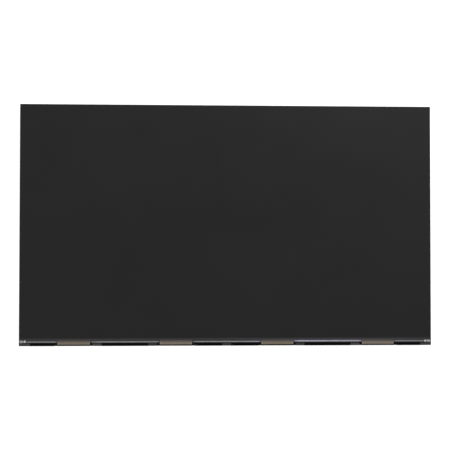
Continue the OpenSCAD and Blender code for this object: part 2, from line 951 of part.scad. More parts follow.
// A wall of the chassis with its bend, in section, at a distance in from the outline
module flange_section(wall_out) {
  bend_v = wall_out + sheet_t + bend_r;
  bend_z = z_reflector + bend_r;
  quarter_ring([bend_v, bend_z], bend_r, bend_r + sheet_t, -1, -1);
  translate([wall_out, bend_z])
    square([sheet_t, z_shelf - 0.2 - bend_z]);
}

// Windows in the walls of the chassis for the hooks of the frame
module hook_windows() {
  z_low = hook_z - hook_clear;
  z_high = hook_z + hook_h + hook_clear;
  half = hook_l / 2 + 2 * hook_clear;
  depth = flange_in + 0.2;
  for (x = clip_spots)
    block([x - half, up(0), z_low], [x + half, up(foot_flange_in + 0.1), z_high]);
  for (i = [0 : top_hooks - 1])
    block(
      [hook_spot(i, top_hooks, module_w) - half, down(depth), z_low],
      [hook_spot(i, top_hooks, module_w) + half, down(0), z_high]
    );
  for (i = [0 : side_hooks - 1])
    for (s = [0, 1])
      mirror([s, 0, 0])
        block(
          [-edge_x, hook_spot(i, side_hooks, module_h) - half, z_low],
          [-edge_x + depth, hook_spot(i, side_hooks, module_h) + half, z_high]
        );
}

// A flat-topped dimple pressed out of the back, or the hollow inside it
module seat_dimple(r, height) {
  cylinder(r1 = r, r2 = r + height, h = height);
}

tooling_r = 2;
tooling_inset = [16, 42];
tooling_spots = [
  for (s = [-1, 1])
    for (y = [up(tooling_inset[1]), down(tooling_inset[1])]) [s * (edge_x - tooling_inset[0]), y]
];

// Round pads pressed out of the back, each with a standoff clinched into it
pad_r = 8;
pad_depth = 0.4;
clinch_r = 2.1;
clinch_clear = 0.05;
mount_spots = [for (sx = [-1, 1]) for (sy = [-1, 1]) [sx * mount_pitch_x / 2, sy * mount_pitch_y / 2]];

module rear_chassis() {
  bend_in = sheet_t + bend_r;
  floor_x = edge_x - flange_out - bend_in;
  floor_low = up(foot_flange_out + bend_in);
  floor_high = down(flange_out + bend_in);
  corner_gap = 1.5;
  slot_side = 0.5;
  color([0.72, 0.74, 0.76])
    difference() {
      union() {
        block([-floor_x, floor_low, z_sheet], [floor_x, floor_high, z_reflector]);
        along_x(-floor_x + corner_gap, floor_x - corner_gap)
          flange_section(foot_flange_out);
        along_top(-floor_x + corner_gap, floor_x - corner_gap)
          flange_section(flange_out);
        for (s = [0, 1])
          mirror([s, 0, 0])
            along_y(floor_low + corner_gap, floor_high - corner_gap)
              flange_section(flange_out);
        translate([0, 0, z_sheet])
          all_ribs(rib_crest, rib_depth);
        for (spot = board_screw_spots)
          translate([spot[0], up(spot[1]), z_sheet - seat_h])
            seat_dimple(seat_r, seat_h);
        for (spot = mount_spots)
          translate([spot[0], spot[1], z_sheet - pad_depth])
            seat_dimple(pad_r, pad_depth);
      }
      translate([0, 0, z_reflector])
        all_ribs(rib_crest - 2 * press_offset, rib_depth);
      for (spot = board_screw_spots)
        translate([spot[0], up(spot[1]), z_reflector - seat_h])
          seat_dimple(seat_r - press_offset, seat_h);
      for (spot = mount_spots)
        translate([spot[0], spot[1], z_reflector - pad_depth])
          seat_dimple(pad_r - press_offset, pad_depth);
      for (spot = concat(board_screw_spots, shield_screw_spots))
        translate([spot[0], up(spot[1]), z_sheet - 1])
          cylinder(r = screw_r + screw_clear, h = sheet_t + 2);
      for (spot = tooling_spots)
        translate([spot[0], spot[1], z_sheet - 1])
          cylinder(r = tooling_r, h = sheet_t + 2);
      for (spot = mount_spots)
        translate([spot[0], spot[1], z_sheet - 1])
          cylinder(r = clinch_r + clinch_clear, h = sheet_t + 2);
      block(
        [tail_x - tail_w / 2 - slot_side, up(foot_flange_in + 0.05), z_sheet - 1],
        [tail_x + tail_w / 2 + slot_side, up(led_edge + tail_bend + 0.3), strip_low]
      );
      hook_windows();
    }
}

// Threaded standoffs pressed into the chassis: the module rests on them and is fixed by them
module mounting_standoffs() {
  thread_depth = standoff_h - 0.2;
  body_h = standoff_h - pad_depth;
  color([0.8, 0.8, 0.78])
    for (spot = mount_spots)
      translate([spot[0], spot[1], 0])
        difference() {
          union() {
            cylinder(r = standoff_r, h = body_h);
            translate([0, 0, body_h])
              cylinder(r = clinch_r, h = sheet_t - 0.05);
          }
          translate([0, 0, -1])
            cylinder(r = thread_r, h = thread_depth + 1);
        }
}

// Drive board

// Outline of the board in plan, grown by a margin
module board_outline(margin) {
  corner = board_corner;
  shoulder = board_shoulder;
  polygon([
    [-arm_half - margin, up(board_foot - margin) + corner], [-arm_half - margin + corner, up(board_foot - margin)],
    [arm_half + margin - corner, up(board_foot - margin)], [arm_half + margin, up(board_foot - margin) + corner],
    [arm_half + margin, up(arm_top + margin) - corner], [arm_half + margin - corner, up(arm_top + margin)],
    [middle_w / 2 + margin + shoulder, up(arm_top + margin)], [middle_w / 2 + margin, up(arm_top + margin) + shoulder],
    [middle_w / 2 + margin, up(middle_top + margin) - corner], [middle_w / 2 + margin - corner, up(middle_top + margin)],
    [-middle_w / 2 - margin + corner, up(middle_top + margin)], [-middle_w / 2 - margin, up(middle_top + margin) - corner],
    [-middle_w / 2 - margin, up(arm_top + margin) + shoulder], [-middle_w / 2 - margin - shoulder, up(arm_top + margin)],
    [-arm_half - margin + corner, up(arm_top + margin)], [-arm_half - margin, up(arm_top + margin) - corner]
  ]);
}

module drive_board() {
  color([0.1, 0.3, 0.2])
    translate([0, 0, z_board])
      difference() {
        linear_extrude(board_t)
          board_outline(0);
        for (spot = board_screw_spots)
          translate([spot[0], up(spot[1]), -1])
            cylinder(r = screw_r + 2 * screw_clear, h = board_t + 2);
      }
}

module insulation_sheet() {
  color([0.08, 0.08, 0.09])
    translate([0, 0, z_sheet - tape_t])
      difference() {
        linear_extrude(tape_t)
          board_outline(sheet_margin);
        for (spot = board_screw_spots)
          translate([spot[0], up(spot[1]), -1])
            cylinder(r = seat_r + seat_h + 0.4, h = tape_t + 2);
      }
}

// A package on the board's outer face: spot is its middle, size its length, depth and height
module package(spot, size) {
  block(
    [spot[0] - size[0] / 2, up(spot[1]) - size[1] / 2, z_board - size[2]],
    [spot[0] + size[0] / 2, up(spot[1]) + size[1] / 2, z_board]
  );
}

module timing_chip() {
  color([0.12, 0.12, 0.12])
    package(timing_spot, timing_size);
}

module power_chips() {
  color([0.13, 0.13, 0.13])
    for (chip = power_spots)
      package(chip[0], chip[1]);
}

module power_inductors() {
  color([0.25, 0.25, 0.27])
    for (spot = inductor_spots)
      package(spot, inductor_size);
}

// Small capacitors: a row along each arm between the films, and rows round the chips
module board_capacitors() {
  arm_pitch = 5;
  arm_v = board_foot + 0.68 * arm_h;
  row_pitch = 2.6;
  row_v = board_foot + film_bond + 2.1;
  chip_gap = timing_size[1] / 2 + 3;
  column_inset = 6;
  column_spot = [-middle_w / 2 + column_inset, board_foot + 0.4 * middle_h];
  column_pitch = 3;
  color([0.62, 0.5, 0.36]) {
    for (s = [-1, 1])
      for (i = [-3 : 3])
        package([s * (film_x(3) + i * arm_pitch), arm_v], capacitor_size);
    for (s = [-1, 1])
      for (i = [-2 : 2])
        package([s * (film_x(2) + 7 + i * row_pitch), row_v], capacitor_size);
    for (i = [-4 : 4])
      package([timing_spot[0] + i * row_pitch, timing_spot[1] - chip_gap], capacitor_size);
    for (i = [-2 : 2])
      package(
        column_spot + [0, i * column_pitch],
        [capacitor_size[1], capacitor_size[0], capacitor_size[2]]
      );
  }
}

// Signal connector: an open mouth towards the top edge of the picture, with a row of contacts

function contact_x(i) = plug_x + (i - (contact_count - 1) / 2) * contact_pitch;

module signal_connector() {
  wall = 0.9;
  mouth_z_high = z_board - 0.15;
  mouth_z_low = z_board - housing_h + 0.3;
  color([0.9, 0.88, 0.8])
    difference() {
      block(
        [plug_x - housing_l / 2, up(housing_v), z_board - housing_h],
        [plug_x + housing_l / 2, up(housing_v + housing_d), z_board]
      );
      block(
        [plug_x - housing_l / 2 + wall, up(housing_v + 1), mouth_z_low],
        [plug_x + housing_l / 2 - wall, up(housing_v + housing_d + 1), mouth_z_high]
      );
      for (i = [0 : contact_count - 1])
        block(
          [contact_x(i) - contact_w / 2, up(housing_v - 1), mouth_z_high - 0.2],
          [contact_x(i) + contact_w / 2, up(housing_v + 2), z_board + 1]
        );
    }
}

module signal_contacts() {
  z_low = z_board - 0.35;
  z_high = z_board - 0.15;
  tail = 1;
  color([0.85, 0.7, 0.35])
    for (i = [0 : contact_count - 1])
      translate([contact_x(i) - contact_w / 2, -edge_y, 0])
        rotate([90, 0, 90])
          linear_extrude(contact_w)
            polygon([
              [housing_v - tail, z_low], [housing_v + housing_d - 0.9, z_low],
              [housing_v + housing_d - 0.9, z_high], [housing_v, z_high],
              [housing_v - 0.1, z_board], [housing_v - tail, z_board]
            ]);
}

// Folded metal shell over the housing, with a solder lug at each end
module signal_shell() {
  lug = 1.6;
  z_low = z_board - housing_h - shell_t;
  v_low = housing_v + 0.6;
  v_high = housing_v + housing_d;
  half = housing_l / 2;
  color([0.78, 0.78, 0.8]) {
    block([plug_x - half - shell_t, up(v_low), z_low], [plug_x + half + shell_t, up(v_high), z_low + shell_t]);
    for (s = [0, 1])
      translate([plug_x, 0, 0])
        mirror([s, 0, 0]) {
          block([half, up(v_low), z_low], [half + shell_t, up(v_high), z_board]);
          block([half, up(v_low + 0.8), z_board - shell_t], [half + lug, up(v_high - 0.8), z_board]);
        }
  }
}

// Screws: a low head on the outer face and a shank up into the chassis
module low_screw(head_z) {
  tip_z = z_reflector - 0.1;
  slot_w = 0.4;
  difference() {
    union() {
      translate([0, 0, head_z - head_h])
        cylinder(r = head_r, h = head_h);
      translate([0, 0, head_z])
        cylinder(r = screw_r, h = tip_z - head_z);
    }
    for (a = [0, 90])
      rotate([0, 0, a])
        block([-head_r * 0.6, -slot_w / 2, head_z - head_h - 1], [head_r * 0.6, slot_w / 2, head_z - head_h / 2]);
  }
}

module board_screws() {
  color([0.75, 0.75, 0.78])
    for (spot = board_screw_spots)
      translate([spot[0], up(spot[1]), 0])
        low_screw(z_board);
}

module shield_screws() {
  color([0.75, 0.75, 0.78])
    for (spot = shield_screw_spots)
      translate([spot[0], up(spot[1]), 0])
        low_screw(z_sheet - shield_t);
}

// Shallow pressed lid over the middle of the board, with walls down to the chassis and screwed tabs
module board_shield() {
  half = shield_w / 2;
  cut_half = housing_l / 2 + 2.5;
  tab_z = z_sheet - shield_t;
  color([0.7, 0.72, 0.74])
    difference() {
      union() {
        block([-half, up(shield_foot), 0], [half, up(shield_top), shield_t]);
        block([-half, up(shield_top - shield_t), 0], [half, up(shield_top), z_sheet]);
        for (s = [0, 1])
          mirror([s, 0, 0]) {
            block([half - shield_t, up(shield_wall_low), 0], [half, up(shield_top), z_sheet]);
            for (spot = [shield_screw_spots[0], shield_screw_spots[1]])
              block(
                [half - shield_t, up(spot[1] - shield_tab / 2), tab_z],
                [half + tab_reach, up(spot[1] + shield_tab / 2), z_sheet]
              );
          }
        translate([timing_spot[0], up(timing_spot[1]), 0])
          dimple_frustum(dimple_w, shield_t + dimple_depth);
      }
      translate([timing_spot[0], up(timing_spot[1]), 0])
        dimple_frustum(dimple_w - 2 * shield_offset, dimple_depth);
      for (spot = shield_screw_spots)
        translate([spot[0], up(spot[1]), tab_z - 1])
          cylinder(r = screw_r + 2 * screw_clear, h = shield_t + 2);
      block(
        [plug_x - cut_half, up(housing_v - 2.5), -1],
        [plug_x + cut_half, up(shield_top + 1), z_sheet + 1]
      );
    }
}

// A square frustum that narrows upwards by its own height on every side
module dimple_frustum(base, height) {
  section = [[-base / 2, 0], [base / 2, 0], [base / 2 - height, height], [-base / 2 + height, height]];
  intersection() {
    translate([-base / 2, 0, 0])
      rotate([90, 0, 90])
        linear_extrude(base)
          polygon(section);
    translate([0, base / 2, 0])
      rotate([90, 0, 0])
        linear_extrude(base)
          polygon(section);
  }
}

// Soft pad between the timing chip and the dimple of the shield
module thermal_pad() {
  pad = timing_size[0] - 2;
  color([0.55, 0.62, 0.72])
    block(
      [timing_spot[0] - pad / 2, up(timing_spot[1]) - pad / 2, shield_t + dimple_depth],
      [timing_spot[0] + pad / 2, up(timing_spot[1]) + pad / 2, z_board - timing_size[2]]
    );
}

// Foils that join the board to the chassis, stepped at the board's edge
module earth_foils() {
  foil_low = arm_top - foil_inset;
  step_l = 2 * (z_sheet - z_board);
  foil_high = arm_top + foil_reach;
  color([0.82, 0.8, 0.74])
    for (s = [-1, 1])
      along_x(s * foil_x - foil_w / 2, s * foil_x + foil_w / 2)
        polygon([
          [foil_low, z_board - tape_t], [foil_low, z_board], [arm_top, z_board],
          [arm_top + step_l, z_sheet], [foil_high, z_sheet], [foil_high, z_sheet - tape_t],
          [arm_top + step_l + 0.05, z_sheet - tape_t], [arm_top + 0.1, z_board - tape_t]
        ]);
}

front_polarizer();
color_filter_glass();
array_glass();
rear_polarizer();
ledge_sealant();
ground_dots();
drive_film(0);  // drive_film_1
drive_film(1);  // drive_film_2
drive_film(2);  // drive_film_3
drive_film(3);  // drive_film_4
driver_chip(0);  // driver_chip_1
driver_chip(1);  // driver_chip_2
driver_chip(2);  // driver_chip_3
driver_chip(3);  // driver_chip_4
cell_foam_tape();
middle_frame();
rim_tapes();
edge_tape_left();
edge_tape_right();
edge_tape_top();
recycling_film();
prism_sheet();
diffuser_sheet();
light_guide();
guide_buffers();
reflector_sheet();
led_strip();
led_packages();
thermal_tape();
backlight_connector();
backlight_pins();
rear_chassis();
mounting_standoffs();
insulation_sheet();
drive_board();
timing_chip();
power_chips();
power_inductors();
board_capacitors();
signal_connector();
signal_contacts();
signal_shell();
board_screws();
board_shield();
shield_screws();
thermal_pad();
earth_foils();
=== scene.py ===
import json
import math

import bmesh
import bpy
import numpy as np
from bpy.props import FloatProperty, FloatVectorProperty, IntProperty, PointerProperty
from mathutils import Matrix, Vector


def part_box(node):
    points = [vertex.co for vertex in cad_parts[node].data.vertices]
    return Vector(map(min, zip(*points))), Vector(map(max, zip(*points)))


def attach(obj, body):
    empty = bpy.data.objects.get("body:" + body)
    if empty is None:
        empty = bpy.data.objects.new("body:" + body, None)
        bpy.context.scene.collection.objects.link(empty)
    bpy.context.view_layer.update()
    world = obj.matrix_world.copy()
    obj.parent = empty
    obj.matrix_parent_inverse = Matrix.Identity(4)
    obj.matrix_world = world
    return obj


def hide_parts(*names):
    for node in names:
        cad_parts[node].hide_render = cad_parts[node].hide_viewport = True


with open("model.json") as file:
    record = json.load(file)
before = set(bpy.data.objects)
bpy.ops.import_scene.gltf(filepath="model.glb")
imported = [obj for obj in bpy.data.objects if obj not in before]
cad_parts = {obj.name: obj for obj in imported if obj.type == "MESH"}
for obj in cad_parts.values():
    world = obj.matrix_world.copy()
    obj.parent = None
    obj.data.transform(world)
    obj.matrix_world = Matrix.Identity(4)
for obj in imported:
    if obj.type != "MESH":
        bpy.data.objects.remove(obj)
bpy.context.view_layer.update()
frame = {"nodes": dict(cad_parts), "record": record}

bl_info = {
    "name": "LCD Panel Finish",
    "version": (1, 0, 0),
    "blender": (4, 5, 0),
    "location": "3D View > Sidebar > LCD Panel",
    "description": "Finishes and fine details of a bare backlit screen module",
    "category": "Object",
}

NODES = frame["nodes"]
BODY = "root"
MM = 0.001
EVEN = (1.0, 1.0, 1.0)


# Settings that a user would change


def swatch(name, description, default):
    return FloatVectorProperty(name=name, description=description, size=3, default=default, subtype="COLOR")


def spot(name, description, default):
    return FloatVectorProperty(
        name=name, description=description, size=3, default=default, subtype="XYZ", unit="LENGTH"
    )


def amount(name, description, default, low=0, **more):
    return FloatProperty(name=name, description=description, default=default, min=low, **more)


def length(name, description, default, low=0):
    return amount(name, description, default, low, unit="LENGTH")


class StageSettings(bpy.types.PropertyGroup):
    """The camera, the lamps and the floor."""

    camera_place: spot("Camera Place", "Where the camera stands", (-0.0774, -0.0418, 1.5062))
    camera_turn: FloatVectorProperty(
        name="Camera Turn", description="How the camera is turned from straight down", size=3,
        default=(math.radians(1.605), math.radians(-2.873), math.radians(0.043)),
        subtype="EULER", unit="ROTATION",
    )
    lens: amount("Lens", "Focal length on a sensor 36 mm wide", 92.6, low=20, unit="CAMERA")
    sky: amount("Sky", "Brightness of the even light from all round", 0.5)
    key_place: spot("Key Place", "Where the large lamp beyond the top edge hangs", (0.8, 1.4, 1.3))
    key_power: amount("Key Power", "Power of the large lamp beyond the top edge", 24.0, unit="POWER")
    fill_place: spot("Fill Place", "Where the lamp at the left hangs", (-1.5, -0.5, 1.2))
    fill_power: amount("Fill Power", "Power of the lamp at the left", 7.0, unit="POWER")
    lamp_side: length("Lamp Side", "Side of each square lamp", 1.4, 0.1)
    floor_side: length("Floor Side", "Side of the square floor", 30.0, 1)
    floor_glow: amount("Floor Glow", "Brightness that the floor shows by itself to the camera", 0.72, max=1)
    floor_bounce: amount("Floor Bounce", "Brightness with which the floor lights what faces it", 0.45, max=1)
    clear_reach: length(
        "Clear Reach",
        "Distance within which the floor is clear to what lies on it, so that the sky "
        "below lights the back",
        15 * MM,
    )
    low_sky_down: amount("Low Sky, Down", "Brightness of the sky below the floor, straight down", 0.3)
    low_sky_side: amount(
        "Low Sky, Side", "Brightness of the sky below the floor, towards its brighter side", 1.3,
    )


class FinishSettings(bpy.types.PropertyGroup):
    """Colours of the main materials."""

    face: swatch("Face", "Matt film over the picture", (0.0048, 0.0047, 0.0051))
    face_foot: swatch("Face Foot", "Matt film over the black margin at its lower edge", (0.029, 0.028, 0.03))
    margin: swatch("Glass Margin", "Black margin behind the colour filter glass", (0.053, 0.052, 0.053))
    ledge: swatch("Ledge", "Bare glass with its metal lines", (0.024, 0.023, 0.026))
    # Painted reflection: the violet sheen of the thin metal layers, laid on as colour towards one side
    ledge_reflection_tint: swatch("Ledge Tint", "Colour that the thin metal layers take on at one side", (0.13, 0.11, 0.2))
    # Painted reflection: the violet sheen of the metal layers, laid on the sealant as colour
    sealant_reflection_tint: swatch(
        "Sealant Tint", "Colour of the sealant where the metal layers shine the most", (0.41, 0.39, 0.47),
    )
    # Partly painted highlight: the pale grey stands in for light reflected along the bead as well as the metal
    # lines below
    sealant: swatch("Sealant", "Clear sealant over the bright metal lines", (0.24, 0.24, 0.248))
    film_bare: swatch("Film", "Drive film where nothing lies behind it", (0.182, 0.153, 0.114))
    film_rosy: swatch("Rosy Film", "Bare part of the second and the fourth drive film", (0.196, 0.161, 0.134))
    film_bonded: swatch("Bonded Film", "Drive film where it is bonded to the glass", (0.07, 0.059, 0.052))
    # Olive resist and painted shade: the fold turns away from the light, so this colour is near black
    fold_resist_and_shade: swatch(
        "Fold Resist", "Olive resist where a drive film folds over the edge", (0.009, 0.0082, 0.0055),
    )
    tape: swatch("Tape", "Black tape", (0.0012, 0.0012, 0.0013))
    frame: swatch("Frame", "Moulded frame", (0.021, 0.021, 0.022))
    # Painted highlight: how many times paler the frame is in a band along its lower edge, where light catches
    # it
    painted_highlight_gain: amount("Rub", "How many times paler the frame is where it is highlighted", 2.6, low=1)
    steel: swatch("Steel", "Zinc-coated steel sheet", (0.56, 0.57, 0.58))
    board: swatch("Board", "Solder resist of the circuit board", (0.008, 0.06, 0.032))
    brass: swatch("Contacts", "Gilt contacts", (0.72, 0.53, 0.24))


class DetailSettings(bpy.types.PropertyGroup):
    """Sizes of the fine details."""

    bead_waver: length("Bead Waver", "How far the edges of a sealant bead wander", 0.12 * MM)
    paste_waver: amount(
        "Paste Waver", "How far the rim of a silver dot wanders, as a share of its radius", 0.09,
        max=0.3, subtype="FACTOR",
    )
    thread_pitch: length("Thread Pitch", "Pitch of the thread in the standoffs", 0.5 * MM, 0.2 * MM)
    thread_depth: length("Thread Depth", "Height of the thread's ridge", 0.1 * MM, 0.02 * MM)
    lead_pitch: length("Lead Pitch", "Distance between the leads of a chip", 0.65 * MM, 0.3 * MM)
    lead_width: length("Lead Width", "Width of a chip's lead", 0.25 * MM, 0.1 * MM)
    pad_radius: length("Pad Radius", "Radius of a test pad on the board", 0.6 * MM, 0.2 * MM)
    pad_count: IntProperty(
        name="Pads", description="Number of test pads along each arm of the board", default=14, min=1,
    )


def stage_settings():
    return bpy.context.scene.lcd_panel_stage


def finish():
    return bpy.context.scene.lcd_panel_finish


def details():
    return bpy.context.scene.lcd_panel_details


# Meshes from grids of points


def xyz(x, y, z):
    """Points from arrays or numbers, each repeated along the axes that it lacks."""
    return np.stack(np.broadcast_arrays(x, y, z), axis=-1)


def grid_mesh(name, points, wrap_columns=True):
    """A mesh of one or more sheets: points has the shape (copies, rows, columns, 3).

    Point (i, j) of a copy joins (i + 1, j), (i + 1, j + 1) and (i, j + 1) in one four-sided face, and the
    last column joins the first where the columns wrap. Points that coincide, as at a pole, are merged.
    """
    copies, rows, columns, _ = points.shape
    number = np.arange(copies * rows * columns).reshape(copies, rows, columns)
    if wrap_columns:
        number = np.concatenate([number, number[:, :, :1]], axis=2)
    quads = np.stack(
        [number[:, :-1, :-1], number[:, 1:, :-1], number[:, 1:, 1:], number[:, :-1, 1:]], axis=-1
    ).reshape(-1, 4)
    mesh = bpy.data.meshes.new(name)
    mesh.vertices.add(points.size // 3)
    mesh.vertices.foreach_set("co", points.astype(np.float32).ravel())
    mesh.loops.add(quads.size)
    mesh.loops.foreach_set("vertex_index", quads.astype(np.int32).ravel())
    mesh.polygons.add(len(quads))
    mesh.polygons.foreach_set("loop_start", np.arange(0, quads.size, 4, dtype=np.int32))
    mesh.update(calc_edges=True)
    tidy = bmesh.new()
    tidy.from_mesh(mesh)
    bmesh.ops.remove_doubles(tidy, verts=tidy.verts, dist=1e-6)
    bmesh.ops.recalc_face_normals(tidy, faces=tidy.faces)
    tidy.to_mesh(mesh)
    tidy.free()
    mesh.polygons.foreach_set("use_smooth", np.ones(len(mesh.polygons), dtype=bool))
    return mesh


def add_piece(name, mesh, material, replaced=()):
    """Puts a mesh into the scene as a piece of the panel, with its finish, slot and the nodes it replaces."""
    piece = bpy.data.objects.new(name, mesh)
    bpy.context.scene.collection.objects.link(piece)
    mesh.materials.append(material)
    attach(piece, BODY)
    if replaced:
        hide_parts(*replaced)
    return piece


def node_boxes(node):
    """Lowest and highest corners of each separate solid in a node, sorted from left to right.

    Corners that coincide share a label, and every triangle spreads the lowest label of its three corners
    until no label changes.
    """
    mesh = NODES[node].data
    place = np.empty(len(mesh.vertices) * 3)
    mesh.vertices.foreach_get("co", place)
    place = place.reshape(-1, 3)
    corners = np.empty(len(mesh.loops), dtype=np.int64)
    mesh.loops.foreach_get("vertex_index", corners)
    triangles = corners.reshape(-1, 3)
    _, same = np.unique(np.round(place, 7), axis=0, return_inverse=True)
    triangles = same.ravel()[triangles]
    label = np.arange(triangles.max() + 1)
    while True:
        lowest = label[triangles].min(axis=1)
        spread = label.copy()
        for corner in range(3):
            np.minimum.at(spread, triangles[:, corner], lowest)
        if np.array_equal(spread, label):
            break
        label = spread
    solid = label[same.ravel()]
    boxes = [(place[solid == k].min(axis=0), place[solid == k].max(axis=0)) for k in np.unique(solid)]
    return sorted(boxes, key=lambda box: (round(float(box[0][0]), 6), round(float(box[0][1]), 6)))


def rounded_lumps(name, centres, half_sizes, squareness, rows=9, columns=16):
    """One mesh of many closed lumps, each the superellipsoid

    (cos^e(a) cos^e(b), cos^e(a) sin^e(b), sin^e(a)) stretched to its half sizes, where a runs from pole to
    pole, b runs round, and the exponent e is the squareness: near 0 a box, 1 an ellipsoid.
    """
    rise = np.linspace(-math.pi / 2, math.pi / 2, rows)[:, None]
    turn = np.linspace(0, math.tau, columns, endpoint=False)[None, :]

    def power(wave):
        return np.sign(wave) * np.abs(wave) ** squareness

    level = power(np.cos(rise))
    shape = xyz(level * power(np.cos(turn)), level * power(np.sin(turn)), power(np.sin(rise)))
    points = np.asarray(centres)[:, None, None, :] + shape[None] * np.asarray(half_sizes)[:, None, None, :]
    return grid_mesh(name, points)


def ribbon_copies(path, across, width, thickness, offsets):
    """Points of flat strips along one path: each station has four corners, half a width to both sides along
    the across direction and half a thickness along the path's own normal. Both ends close to a point."""
    path = np.asarray(path, dtype=float)
    along = np.gradient(path, axis=0)
    along /= np.linalg.norm(along, axis=1, keepdims=True)
    normal = np.cross(along, across)
    side = np.asarray(across)[None, :] * width / 2
    lift = normal * thickness / 2
    loop = np.stack([path + side + lift, path - side + lift, path - side - lift, path + side - lift], axis=1)
    closed = np.concatenate([
        np.repeat(path[:1, None], 4, axis=1), loop, np.repeat(path[-1:, None], 4, axis=1)
    ])
    return closed[None] + np.asarray(offsets)[:, None, None, :]


# Shader trees


def set_inputs(node, inputs):
    """Links inputs, each given by its name or number, to another node's output, or sets them to a number, a
    vector or a colour."""
    for name, value in inputs.items():
        socket = node.inputs[name]
        if isinstance(value, bpy.types.NodeSocket):
            socket.id_data.links.new(value, socket)
        else:
            socket.default_value = (*value, 1.0) if socket.type == "RGBA" else value


def add_node(tree, kind, inputs, **settings):
    """A new node of a kind, with its settings, and its inputs linked or set."""
    node = tree.nodes.new(kind)
    for name, value in settings.items():
        setattr(node, name, value)
    set_inputs(node, inputs)
    return node


def dress(material, inputs, height=None, depth=0.0, strength=1.0):
    """Links or sets inputs of a material's shader, and adds bump of a depth in metres where a height is
    given."""
    tree = material.node_tree
    shader = tree.nodes["Principled BSDF"]
    set_inputs(shader, inputs)
    if height is not None:
        bump = add_node(tree, "ShaderNodeBump", {"Height": height, "Distance": depth, "Strength": strength})
        set_inputs(shader, {"Normal": bump.outputs["Normal"]})
    return material


def new_material(name, colour, roughness, metallic=0.0):
    """A material with a single Principled shader, and its node tree."""
    material = bpy.data.materials.new(name)
    material.use_nodes = True
    dress(material, {"Base Color": colour, "Roughness": roughness, "Metallic": metallic})
    return material, material.node_tree


def object_place(tree, stretch=EVEN, turn=0.0):
    """Object coordinates, stretched and turned about Z."""
    place = add_node(tree, "ShaderNodeTexCoord", {}).outputs["Object"]
    inputs = {"Vector": place, "Scale": stretch, "Rotation": (0.0, 0.0, turn)}
    return add_node(tree, "ShaderNodeMapping", inputs).outputs["Vector"]


def axis_value(tree, axis):
    """One of the object coordinates, in metres."""
    place = add_node(tree, "ShaderNodeTexCoord", {}).outputs["Object"]
    return add_node(tree, "ShaderNodeSeparateXYZ", {"Vector": place}).outputs[axis]


def noise(tree, size, detail=3.0, stretch=EVEN, turn=0.0):
    """Noise whose features are about the given size, in metres."""
    place = object_place(tree, stretch, turn)
    inputs = {"Vector": place, "Scale": 1.0 / size, "Detail": detail, "Roughness": 0.55}
    return add_node(tree, "ShaderNodeTexNoise", inputs).outputs["Fac"]


def cells(tree, size, output="Distance", **settings):
    """Voronoi cells about the given size across, in metres."""
    inputs = {"Vector": object_place(tree), "Scale": 1.0 / size}
    return add_node(tree, "ShaderNodeTexVoronoi", inputs, **settings).outputs[output]


def copper_areas(tree, size):
    """Areas of copper with straight sides, 1 on the copper and 0 in the gaps between: the difference of the
    distances to the second and the first cell point, measured along the longer axis."""
    second, first = (
        cells(tree, size, feature=feature, distance="CHEBYCHEV", voronoi_dimensions="2D")
        for feature in ("F2", "F1")
    )
    gap, copper = 0.06, 0.09
    return spread(tree, minus(tree, second, first), gap, copper)


def track_gaps(tree, gap, reach):
    """1 in the gaps between straight copper tracks, which lie as staggered bricks. Their reach and the gap are
    shares of the width of two tracks."""
    two_tracks = 2.4 * MM
    return add_node(tree, "ShaderNodeTexBrick", {
        "Vector": object_place(tree), "Scale": 1.0 / two_tracks, "Mortar Size": gap, "Mortar Smooth": 0.1,
        "Brick Width": reach, "Row Height": 0.5,
    }).outputs["Fac"]


def fine_lines(tree, radian, across, waver=0.0, detail=2.0):
    """Parallel lines: a sine wave across one axis, whose angle grows by a radian over the given length. The
    texture's own angle grows by 20 radians a unit."""
    scale = 1.0 / (20 * radian)
    inputs = {"Vector": object_place(tree), "Scale": scale, "Distortion": waver, "Detail": detail}
    return add_node(tree, "ShaderNodeTexWave", inputs, bands_direction=across).outputs["Fac"]


def spread(tree, value, low, high, new_low=0.0, new_high=1.0, smooth=False):
    """Maps a value from one range to another, held at both ends."""
    inputs = {"Value": value, "From Min": low, "From Max": high, "To Min": new_low, "To Max": new_high}
    course = "SMOOTHSTEP" if smooth else "LINEAR"
    return add_node(tree, "ShaderNodeMapRange", inputs, interpolation_type=course).outputs["Result"]


def calculate(tree, operation, first, second=0.0):
    """One arithmetic step on two values, each a socket or a number."""
    return add_node(tree, "ShaderNodeMath", {0: first, 1: second}, operation=operation).outputs["Value"]


def times(tree, first, second):
    return calculate(tree, "MULTIPLY", first, second)


def minus(tree, first, second):
    return calculate(tree, "SUBTRACT", first, second)


def blend_colours(tree, share, first, second):
    """Mixes two colours, each a plain colour or a socket, by a share from 0 to 1. On a mix node the colours are
    inputs 6 and 7, and their mix is output 2."""
    inputs = {"Factor": share, 6: first, 7: second}
    return add_node(tree, "ShaderNodeMix", inputs, data_type="RGBA").outputs[2]


def shade(tree, value, low, high, first, second):
    """The first colour up to a value's low limit, the second from its high limit on, and a mix between."""
    return blend_colours(tree, spread(tree, value, low, high), first, second)


def tone(colour, factor):
    return tuple(min(1.0, channel * factor) for channel in colour)


# Finishes


def grained(name, dark, light, roughness, grain, bump, strength=1.0, reach=(0.3, 0.7), metallic=0.0):
    """A grain that goes from dark to light over a reach of the noise, and stands up by the bump: silver paste,
    chip packages, and the pale and fired materials below."""
    material, tree = new_material(name, light, roughness, metallic)
    grains = noise(tree, grain, detail=4.0)
    return dress(material, {"Base Color": shade(tree, grains, *reach, dark, light)}, grains, bump, strength)


def soft_pale(name, colour, roughness, grain):
    """Pale soft or matt material: silicone, reflector sheet or heat-conducting pad."""
    return grained(name, tone(colour, 0.9), colour, roughness, grain, 0.02 * MM, strength=0.6)


